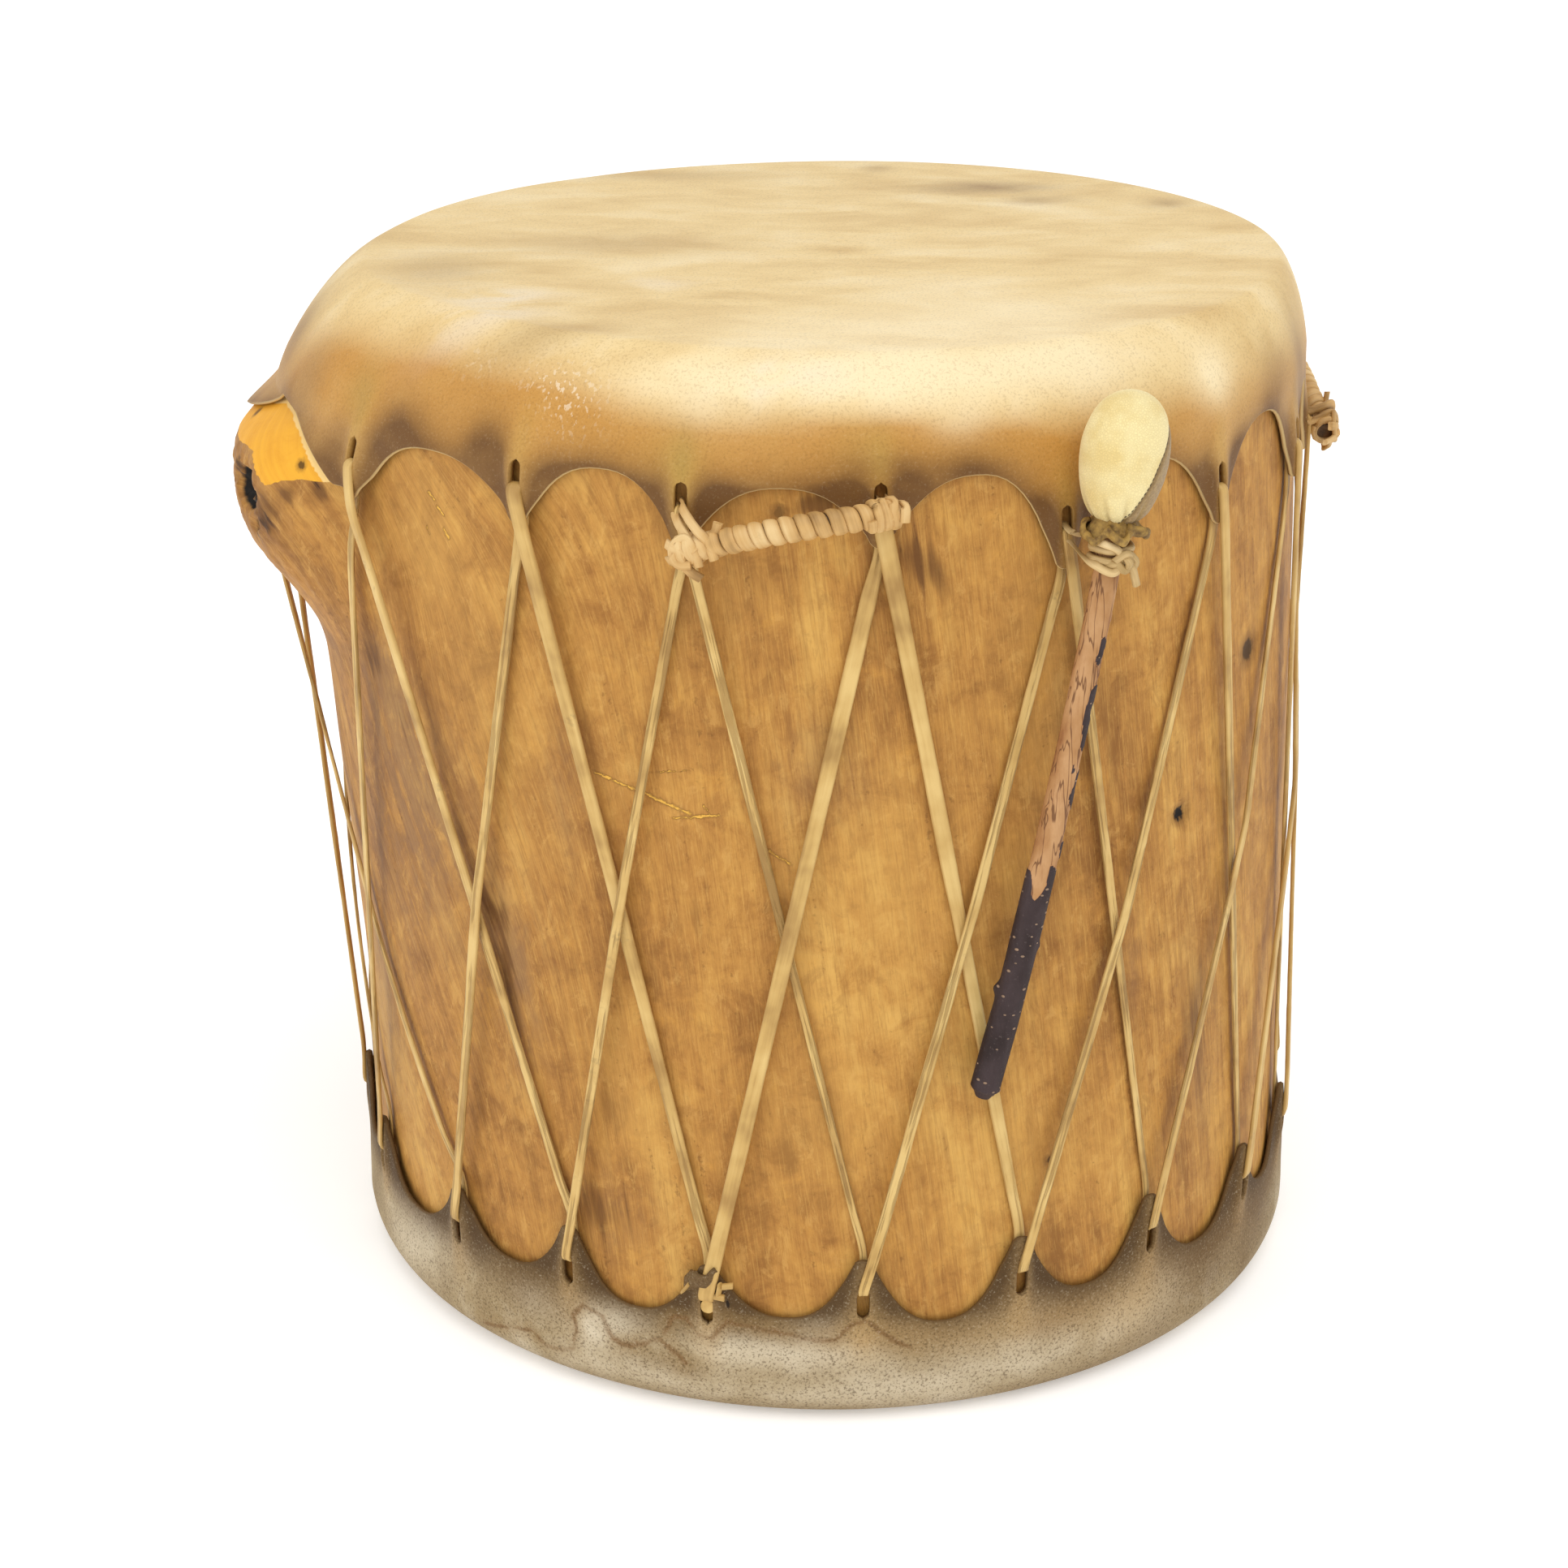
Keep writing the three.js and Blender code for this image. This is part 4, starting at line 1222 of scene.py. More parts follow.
@dataclass
class LogShell:
    """The hollow log with its knob, flats left by the knife, knots and gouges."""

    columns: int = 440
    side_rows: int = 165
    end_rows: int = 6
    crowding: float = 0.5
    pit_depth: float = 11.0
    hollows: Tuple[Tuple[float, ...], ...] = ((-74.6, 387.8, 11.0, 9.0, 1.0), (-72.6, 373.0, 4.0, 4.0, 0.3))
    facet_from: Pair = (-92.0, -89.0)

    def grain_way(self, angle: Array, z: Array) -> Array:
        """Coordinates in which the grain runs along Z: it leans on the left and parts round the knob."""
        lean = 0.0006 + 0.0018 * smooth(-15 * DEG, -55 * DEG, wrap(angle)) * (np.abs(wrap(angle)) < 2.2)
        aside = wrap(angle - FORM.knob.angle)
        near = np.exp(-((aside / (26 * DEG)) ** 2) - ((z - FORM.knob.height + 10) / 62) ** 2)
        bent = angle + lean * (z - 240) - 0.7 * aside * near
        return polar(bent, 225.0, z + 30 * near) * MM

    def relief(self, angle: Array, z: Array, points: Array) -> Array:
        """How far the skin lies below the log's plain form."""
        flats = 0.35 * ripple(points, 62, 11, 2.2) + 0.16 * ripple(points, 17, 12, 4)
        drop = np.minimum(0, flats - 0.3)
        for knot in KNOTS:
            gap = np.linalg.norm(points - FORM.on_wood(knot.degrees, knot.z), axis=-1) / knot.radius
            drop -= knot.depth * np.exp(-(gap**3))
        knob = FORM.knob_share(angle, z)
        bark = 0.9 * ripple(points, 9, 21) + 0.6 * ripple(points, 5, 22)
        rough = smooth(3, -4, z - self.facet_edge(angle)) * smooth(0.2, 0.5, knob)
        drop -= rough * (0.7 + 0.5 * bark)
        folds = np.exp(-((np.degrees(angle) + 57) / 7) ** 2 - ((z - 322) / 20) ** 2)
        drop -= 0.5 * folds * (1 + np.sin(z * 0.9 + np.degrees(angle) * 0.7))
        return drop - self.pit(points) * self.pit_depth

    def pit(self, points: Array) -> Array:
        """How much of the rotted hollow in the knob's side each point has."""
        ragged = 0.3 * ripple(points, 7, 31)
        total = np.zeros(points.shape[:-1])
        for degrees, z, wide, tall, deep in self.hollows:
            gap = points - FORM.on_wood(degrees, z)
            flat = np.hypot(gap[..., 0], gap[..., 1]) / wide
            far = np.hypot(flat, gap[..., 2] / tall) + ragged
            total = np.maximum(total, deep * np.exp(-(np.maximum(0, far) ** 3.4)))
        return total

    @staticmethod
    def facet_edge(angle: Array) -> Array:
        """Height of the lower edge of the knob's sanded face."""
        spots = np.array(FACET_EDGE, float)
        return np.interp(np.degrees(wrap(angle)), spots[:, 0], spots[:, 1])

    def build(self) -> Piece:
        """Builds and dresses the log."""
        even = np.arange(self.columns) / self.columns * TAU
        angle = even - self.crowding * np.sin(even - FORM.knob.angle)
        low = FORM.bottom + FORM.foot[1]
        share = 1 - (1 - np.linspace(0, 1, self.side_rows)[1:-1]) ** 1.2
        rows = [polar(angle, FORM.bore_radius, FORM.bottom)]
        for k in np.linspace(1, 0, self.end_rows):
            rows.append(FORM.foot_point(angle, k, 0.0))
        for z in lerp(low, FORM.skirt_top, share):
            rows.append(polar(angle, FORM.wood_radius(angle, z), z))
        for k in np.linspace(0, 1, self.end_rows):
            rows.append(FORM.shoulder_point(angle, k, 0.0))
        rows.append(polar(angle, FORM.bore_radius, FORM.top))
        points = np.stack(rows)
        inside = slice(1 + self.end_rows, len(rows) - 1 - self.end_rows)
        skin = points[inside]
        z = skin[..., 2]
        turned = np.broadcast_to(angle, z.shape)
        plain = points.copy()
        skin += polar(turned, self.relief(turned, z, skin), 0.0)
        faces = grid_faces(len(rows), self.columns)
        ring = np.arange(self.columns)
        faces += strip_faces((len(rows) - 1) * self.columns + ring, ring)
        everywhere = np.broadcast_to(angle, points.shape[:2])
        marks = self.marks(everywhere, plain)
        piece = make_piece("log", points.reshape(-1, 3), faces, LogWood().make(), **marks)
        face_out(piece)
        return settle(piece, "log_wood", "log_shell")

    def marks(self, angle: Array, points: Array) -> Dict[str, Array]:
        """Masks and grain of the log's points, by attribute name."""
        z = points[..., 2]
        knob = FORM.knob_share(angle, z)
        degrees = np.degrees(wrap(angle))
        facet = smooth(-1.2, 1.2, z - self.facet_edge(angle)) * smooth(0.1, 0.2, knob)
        rim = np.array(KNOB_RIM, float)
        marks = np.linspace(0, len(rim) - 1, 60)
        line = np.stack([np.interp(marks, np.arange(len(rim)), rim[:, k]) for k in (0, 1)], axis=1)
        near = np.full(z.shape, 1e6)
        for spot in line:
            near = np.minimum(near, np.hypot((degrees - spot[0]) * 4.4, z - spot[1]))
        sap = 1 - smooth(2.4, 5.6, near)
        found = {name: patches_on(points, spots) for name, spots in LOG_STAINS.items()}
        found["facet"] = facet * smooth(*self.facet_from, degrees)
        found["sap"] = sap
        # Mask for the black in the pit: painted shade inside the hollow along with the rot's own dark.
        found["pit_rot_and_shade"] = np.clip(self.pit(points) * 1.25, 0, 1)
        made = {name: values.ravel() for name, values in found.items()}
        made["grain"] = self.grain_way(angle, z).reshape(-1, 3)
        return made


# The rawhide heads


class DrumEnd(Enum):
    """Which end of the log a head covers."""

    UPPER = "upper"
    LOWER = "lower"


@dataclass(frozen=True)
class KnobArch:
    """The lopsided arch that is cut round the knob, between the first two tabs."""

    height: float = 428.0
    peak: float = 0.1
    behind: float = 0.6
    ahead: float = 2.2
    full: float = 0.9

    def share(self, place: Array) -> Array:
        """How far down towards the tabs' tips the edge is, for places from -1 to 1 along the arch."""
        before = np.maximum(0, (self.peak - place) / (1 + self.peak)) ** self.behind
        after = np.clip((place - self.peak) / (self.full - self.peak), 0, 1) ** self.ahead
        return np.where(place < self.peak, before, after)


@dataclass(frozen=True)
class TabRelief:
    """Sizes of the relief of a pulled tab: where it is tight, its ridge, its slot's lips and its hem."""

    tight: float = 7.5
    tight_run: float = 14.0
    ridge: float = 6.5
    ridge_run: float = 34.0
    lip_at: float = 4.2
    lip_wide: float = 2.2
    lip_tall: float = 9.5
    hem: float = 2.4


@dataclass
class RawhideHead:
    """A head: a flat membrane, a rounded edge and a scalloped skirt with a slot in every tab."""

    end: DrumEnd
    tabs: List[Tab]
    arch: float
    finish: Rawhide
    patches: Dict[str, Tuple[Patch, ...]] = field(default_factory=dict)
    knob_arch: Optional[KnobArch] = None
    deepen: Pair = (466.0, 438.0)
    skirt_rows: int = 46
    round_rows: int = 14
    per_degree: float = 1.7
    arch_power: float = 2.5
    tip_round: float = 3.5
    slot_half: float = 2.9
    slot_room: float = 11.0
    ease: float = 1.1
    ease_at_swell: float = 0.9
    tab_gap: float = 2.8
    relief: TabRelief = field(default_factory=TabRelief)
    dusk_reach: float = 9.0
    flank_reach: float = 11.0
    rings: Tuple[float, ...] = (0.975, 0.95, 0.92, 0.88, 0.83, 0.77, 0.70, 0.62, 0.53, 0.43, 0.32, 0.2, 0.09)
    halved: Tuple[int, ...] = (2, 5, 8)

    @property
    def start(self) -> float:
        """Height at which the skirt begins."""
        return FORM.skirt_top if self.end is DrumEnd.UPPER else FORM.bottom + FORM.foot[1]

    @property
    def flat(self) -> float:
        """Height of the membrane's outer face."""
        return FORM.height if self.end is DrumEnd.UPPER else 0.0

    @property
    def point(self) -> int:
        """Which way the tabs point."""
        return self.tabs[0].point

    def slack(self, angle: Array) -> Array:
        """How far the hide stands off the wood at an angle."""
        return self.ease + self.ease_at_swell * FORM.swell(angle)

    def lay_columns(self) -> None:
        """Lays out columns round the head, crowded at the tabs, with each column's edge and tab."""
        angles, owners, edges, self.slits = [], [], [], []
        for i, tab in enumerate(self.tabs):
            after = self.tabs[(i + 1) % len(self.tabs)]
            gap = (after.angle - tab.angle) % TAU
            count = 8 * max(2, round(gap / DEG * self.per_degree / 8))
            s = np.arange(count) / count
            turned = gap * (s - 0.8 * np.sin(TAU * s) / TAU)
            u = np.clip(2 * (turned - FORM.strip) / (gap - 2 * FORM.strip) - 1, -1, 1)
            tip = lerp(tab.tip, after.tip, (u + 1) / 2)
            aside = np.minimum(turned, gap - turned) / FORM.strip
            nose = 1 - np.sqrt(1 - np.clip(aside, 0, 1) ** 2)
            tip = tip - self.point * self.tip_round * nose
            self.slits.append(sum(len(a) for a in angles))
            angles.append(tab.angle + turned)
            edge = lerp(self.arch + 2.5 * math.sin(3.1 * i + 1), tip, np.abs(u) ** self.arch_power)
            if self.knob_arch is not None and i == 0:
                edge = lerp(self.knob_arch.height, tip, self.knob_arch.share(u))
            edges.append(edge)
            owners.append(np.where(s < 0.5, i, (i + 1) % len(self.tabs)))
        self.angle = np.concatenate(angles)
        self.edge = np.concatenate(edges)
        self.owner = np.concatenate(owners)

    def slot_width(self, tab: Tab, z: Array) -> Array:
        """Half width of a tab's slot at a height."""
        t = np.clip((z - tab.slot_far) / (tab.slot_near - tab.slot_far), 0, 1)
        return self.slot_half * np.sqrt(1 - np.abs(2 * t - 1) ** 5)

    def skin_at(self, angle: Array, z: Array, owner: Array, outer: bool) -> Array:
        """Points of the skirt's outer or inner face."""
        tab_angle = np.array([t.angle for t in self.tabs])[owner]
        near = np.array([t.slot_near for t in self.tabs])[owner]
        far = np.array([t.slot_far for t in self.tabs])[owner]
        aside = np.abs(wrap(angle - tab_angle)) * FORM.foot_radius
        wood = FORM.wood_radius(angle, z)
        rest = wood + self.slack(angle)
        size = self.relief
        tight = np.exp(-((aside / size.tight) ** 4)) * smooth(far - self.point * size.tight_run, near, z)
        inner = lerp(rest, np.maximum(FORM.strip_radius(tab_angle, z) + self.tab_gap, rest), tight)
        if not outer:
            return polar(angle, inner, z)
        stretch = np.exp(-((aside / size.ridge) ** 2)) * smooth(far - self.point * size.ridge_run, far, z)
        beside, along = (aside - size.lip_at) / size.lip_wide, (z - (near + far) / 2) / size.lip_tall
        lip = np.exp(-(beside**2) - along**2)
        hem = np.exp(-np.abs(z - self.edge_at(angle)) / size.hem)
        plain = polar(angle, inner, z)
        lift = 0.7 * stretch + 0.55 * lip + 0.25 * hem + 0.18 * ripple(plain, 34, 41)
        return polar(angle, inner + FORM.hide - 0.55 * hem + lift, z)

    def edge_at(self, angle: Array) -> Array:
        """Height of the cut edge at an angle."""
        order = np.argsort(self.angle % TAU)
        return np.interp(angle % TAU, (self.angle % TAU)[order], self.edge[order], period=TAU)

    def rounded_at(self, angle: Array, share: float, outer: bool) -> Array:
        """Points of the rounded edge's outer or inner face."""
        ease = lerp(self.slack(angle), FORM.fit, share)
        lift = ease + (FORM.hide if outer else 0.0)
        if self.end is DrumEnd.LOWER:
            return FORM.foot_point(angle, share, lift)
        if outer:
            ribs = np.zeros_like(angle)
            for tab in self.tabs:
                ribs += np.exp(-((wrap(angle - tab.angle) * FORM.foot_radius / 9) ** 2))
            spot = polar(angle, 200.0, 450.0)
            waves = 0.7 * ribs * (1 - share) ** 3 + 0.3 * ripple(spot, 45, 43) * (1 - share)
            lift = lift + waves * (share < 1)
        return FORM.shoulder_point(angle, share, lift)

    def face_rows(self, outer: bool) -> Tuple[Array, Array]:
        """Rows of points of one face, from the flat to the cut edge, and the slits' second points."""
        shares = np.linspace(1, 0, self.round_rows + 1)[:-1]
        rows = [self.rounded_at(self.angle, share, outer) for share in shares]
        t = np.linspace(0, 1, self.skirt_rows + 1)[:, None]
        z = lerp(self.start, self.edge[None], t)
        angle = np.broadcast_to(self.angle, z.shape).copy()
        twins = []
        for i, tab in enumerate(self.tabs):
            aside = wrap(self.angle - tab.angle) * FORM.foot_radius
            width = self.slot_width(tab, z)
            room = np.clip(1 - np.abs(aside) / self.slot_room, 0, 1)
            angle += np.sign(aside) * width * room / FORM.foot_radius
            column = self.slits[i]
            half = width[:, column] / FORM.foot_radius
            angle[:, column] = tab.angle - half
            twins.append(self.skin_at(tab.angle + half, z[:, column], np.full(len(half), i), outer))
        owner = np.broadcast_to(self.owner, z.shape)
        rows.extend(self.skin_at(angle, z, owner, outer))
        return np.stack(rows), np.stack(twins)

    def build(self) -> Piece:
        """Builds and dresses the head."""
        self.lay_columns()
        count = len(self.angle)
        points: List[Array] = []
        faces: Faces = []
        left, right, size = {}, {}, 0
        for outer in (True, False):
            rows, twins = self.face_rows(outer)
            numbers = size + np.arange(rows.shape[0] * count).reshape(rows.shape[:2])
            left[outer], right[outer] = numbers, numbers.copy()
            points.append(rows.reshape(-1, 3))
            size += rows.shape[0] * count
            for i, column in enumerate(self.slits):
                open_rows = self.open_rows(i)
                right[outer][open_rows, column] = size + np.arange(len(open_rows))
                points.append(twins[i][open_rows - self.round_rows])
                size += len(open_rows)
            disc, disc_faces = self.membrane(rows[0], numbers[0], size, outer)
            points.append(disc)
            size += len(disc)
            faces += disc_faces
            for r in range(rows.shape[0] - 1):
                a, b = right[outer], np.roll(left[outer], -1, axis=1)
                faces += [tuple(f) for f in np.stack([a[r], b[r], b[r + 1], a[r + 1]], axis=1).tolist()]
        hem, hem_faces = self.hem(points, left, size)
        points.append(hem)
        faces += hem_faces
        faces += self.slot_walls(left, right)
        return self.dress(np.vstack(points), faces, np.arange(size, size + len(hem)))

    def open_rows(self, i: int) -> Array:
        """Rows of a tab's column at which its slot is open."""
        t = np.linspace(0, 1, self.skirt_rows + 1)
        z = lerp(self.start, self.edge[self.slits[i]], t)
        tab = self.tabs[i]
        inside = (z - tab.slot_far) * (z - tab.slot_near) < 0
        return np.flatnonzero(inside) + self.round_rows

    def slot_walls(self, left: Dict[bool, Array], right: Dict[bool, Array]) -> Faces:
        """Faces through the hide round each slot."""
        walls = []
        for i, column in enumerate(self.slits):
            rows = self.open_rows(i)
            for r in range(rows[0] - 1, rows[-1] + 1):
                for side in (left, right):
                    outer, inner = side[True][:, column], side[False][:, column]
                    walls.append((int(outer[r]), int(outer[r + 1]), int(inner[r + 1]), int(inner[r])))
        return walls

    def hem(self, points: List[Array], left: Dict[bool, Array], size: int) -> Tuple[Array, Faces]:
        """Rounded cut edge between the outer and the inner face."""
        every = np.vstack(points)
        outer, inner = left[True][-1], left[False][-1]
        middle = (every[outer] + every[inner]) / 2
        middle[:, 2] += self.point * 0.7
        numbers = size + np.arange(len(outer))
        return middle, strip_faces(outer, numbers) + strip_faces(numbers, inner)

    def membrane(self, rim: Array, numbers: Array, size: int, outer: bool) -> Tuple[Array, Faces]:
        """Flat part of a face: rings that thin out towards the centre."""
        points, faces = [], []
        ring, spots = numbers, rim
        for k, share in enumerate(self.rings):
            halve = k in self.halved
            spots = spots[::2] if halve else spots
            widest = np.hypot(*rim[:: len(rim) // len(spots)][:, :2].T)
            scale = share / (np.hypot(spots[:, 0], spots[:, 1]) / widest)
            spots = spots * np.stack([scale, scale, np.ones_like(scale)], axis=1)
            if self.end is DrumEnd.UPPER and outer:
                spots[:, 2] = rim[0, 2] + 0.25 * ripple(spots, 70, 47) * (1 - share**6) - 0.25
            after = size + np.arange(len(spots))
            size += len(spots)
            points.append(spots)
            if halve:
                for c in range(len(after)):
                    n = (c + 1) % len(after)
                    a, b, d = ring[2 * c], ring[2 * c + 1], ring[(2 * c + 2) % len(ring)]
                    faces += [(int(a), int(b), int(after[c])), (int(b), int(d), int(after[n]), int(after[c]))]
            else:
                faces += strip_faces(ring, after)
            ring = after
        points.append(np.array([[0.0, 0.0, float(spots[:, 2].mean())]]))
        faces += [(int(ring[c]), int(ring[(c + 1) % len(ring)]), size) for c in range(len(ring))]
        return np.vstack(points), faces

    def from_tab(self, points: Array) -> Tuple[Array, Array]:
        """How far each point is aside of the nearest tab's middle, and how far past its slot's far end."""
        angle = np.arctan2(points[:, 0], -points[:, 1])
        aside = np.abs(wrap(angle[:, None] - np.array([t.angle for t in self.tabs])[None])) * FORM.foot_radius
        nearest = np.argmin(aside, axis=1)
        far = np.array([t.slot_far for t in self.tabs])[nearest]
        return aside.min(axis=1), (far - points[:, 2]) * self.point

    def dress(self, points: Array, faces: Faces, hem: Array) -> Piece:
        """Makes the piece, with its masks and its finish."""
        tree = KDTree(len(hem))
        for k, spot in enumerate(points[hem]):
            tree.insert(Vector(spot), k)
        tree.balance()
        gap = np.array([tree.find(Vector(p))[2] for p in points])
        marks = {name: patches_on(points, patches) for name, patches in self.patches.items()}
        marks["cut"] = smooth(1.7, 0.8, gap)
        aside, above = self.from_tab(points)
        stretched = np.exp(-((aside / 6) ** 2)) * smooth(30, 4, above)
        flank = np.exp(-(((aside - 12) / self.flank_reach) ** 2)) * smooth(14, -10, above)
        band = np.exp(-((gap / self.dusk_reach) ** 1.2))
        shade = 0.75 * band + 0.6 * flank - 0.3 * stretched
        deepened = 0.85 * smooth(*self.deepen, points[:, 2])
        for name, more in (("dusk", shade), ("olive", 0.5 * stretched), ("gold", deepened)):
            marks[name] = np.clip(marks.get(name, 0.0) + more, 0, 1)
        piece = make_piece(f"{self.end.value}_rawhide", points, faces, self.finish.make(), **marks)
        face_out(piece)
        return settle(piece, f"{self.end.value}_hide", f"{self.end.value}_head")


# Thongs


def strap_tree() -> Growth:
    """Tree that sweeps a thong along the edges of a path."""
    sizes = {"Width": 0.007, "Thickness": 0.002, "Sides": 20, "Curl": -0.0003, "Wobble": 0.0004}
    tree = Growth("strap", sizes)
    tree.close(tree.strap(tree.path()))
    return tree


def winding_tree() -> Growth:
    """Tree that winds a thong round a path, in turns that lie on each other's edges."""
    sizes = {
        "Width": 0.007, "Thickness": 0.0016, "Sides": 16, "Curl": -0.0002, "Wobble": 0.0005,
        "Turns": 15.0, "Reach": 0.0047, "Lean": 0.16, "Unevenness": 0.7,
    }
    tree = Growth("winding", sizes)
    steps_per_turn = 26
    count = tree.given("Turns") * steps_per_turn
    curve = tree.node("GeometryNodeResampleCurve", {}, {"Curve": tree.path(), "Count": count})
    upright = tree.node("GeometryNodeSetCurveNormal", {"mode": "Z_UP"}, {"Curve": curve})
    share = tree.node("GeometryNodeSplineParameter", {}, {}, "Factor")
    drift = tree.noise(tree.join_axes(share * 9, 0.0, 0.0), 1.0, 2.0) - 0.5
    beta = share * tree.given("Turns") * TAU + drift * tree.given("Unevenness") * 3
    out = tree.node("GeometryNodeInputNormal")
    along = tree.node("GeometryNodeInputTangent")
    other = tree.vector("CROSS_PRODUCT", along, out)
    spoke = tree.vector("ADD", tree.times(out, beta.cosine()), tree.times(other, beta.sine()))
    reach = tree.given("Reach") * tree.field("girth")
    leaning = tree.vector("ADD", spoke, tree.times(along, tree.given("Lean")))
    marked = tree.store(upright, "facing", leaning, "FLOAT_VECTOR")
    marked = tree.store(marked, "spoke", tree.times(spoke, reach), "FLOAT_VECTOR")
    shift = {"Geometry": marked, "Offset": tree.field("spoke", "FLOAT_VECTOR")}
    tree.close(tree.strap(tree.node("GeometryNodeSetPosition", {}, shift)))
    return tree


def stitch_tree() -> Growth:
    """Tree that sets short stitches along a path."""
    tree = Growth("stitches", {"Pitch": 0.0022, "Length": 0.0007, "Thickness": 0.0003})
    spread = {"Curve": tree.path(), "Length": tree.given("Pitch")}
    points = tree.node("GeometryNodeCurveToPoints", {"mode": "LENGTH"}, spread)
    size = tree.join_axes(tree.given("Thickness"), tree.given("Thickness"), tree.given("Length"))
    tree.close(tree.beads(points, size))
    return tree


def lenticel_tree() -> Growth:
    """Tree that scatters pale corky dots over the bark."""
    tree = Growth("lenticels", {"Density": 26000.0, "Size": 0.0008, "Seed": 5})
    bark = tree.field("bark").step(0.8, 0.95)
    scatter = {
        "Mesh": tree.given("Geometry"), "Distance Min": 0.0026,
        "Density Max": tree.given("Density"), "Density Factor": bark, "Seed": tree.given("Seed"),
    }
    points = tree.node("GeometryNodeDistributePointsOnFaces", {"distribute_method": "POISSON"}, scatter)
    wide = tree.node("FunctionNodeRandomValue", {}, {2: 0.5, 3: 1.3, "Seed": tree.given("Seed")}, 1)
    size = tree.times(tree.join_axes(1.0, 0.6, 0.3), wide * tree.given("Size"))
    tree.close(tree.beads(points, size))
    return tree


def path_piece(
    name: str,
    points: Array,
    closed: bool = False,
    facing: Optional[Array] = None,
    breadth: Number = 1.0,
    reverse: Number = 0.0,
    girth: Number = 1.0,
) -> Piece:
    """Makes a path of edges for a thong.

    Args:
        name: The piece's name.
        points: Points of the path.
        closed: Whether the path joins its own start.
        facing: Which way the thong's face looks at each point; away from the drum's axis if not given.
        breadth: Width at each point, as a share of the thong's own.
        reverse: How much of the rougher side shows at each point.
        girth: Reach of a winding at each point, as a share of its own.

    Returns:
        The object with the path.
    """
    count = len(points)
    edges = [(k, (k + 1) % count) for k in range(count if closed else count - 1)]
    if facing is None:
        facing = unit(points * np.array([1.0, 1.0, 0.0]))
    whole = np.ones(count)
    return make_piece(
        name, points, (), None, edges,
        facing=facing, breadth=whole * breadth, reverse=whole * reverse, girth=whole * girth,
    )


def strand_points(out: Array, side: Array, run: Sequence[Sequence]) -> Array:
    """Points that a loose strand passes.

    Args:
        out: Direction away from the drum.
        side: Direction to the right of it.
        run: Spots, each with the steps from it outwards, to the right and up.

    Returns:
        The points in order.
    """
    axes = np.stack([out, side, [0.0, 0.0, 1.0]])
    return np.vstack([spot + np.array(steps, float) @ axes for spot, *steps in run])


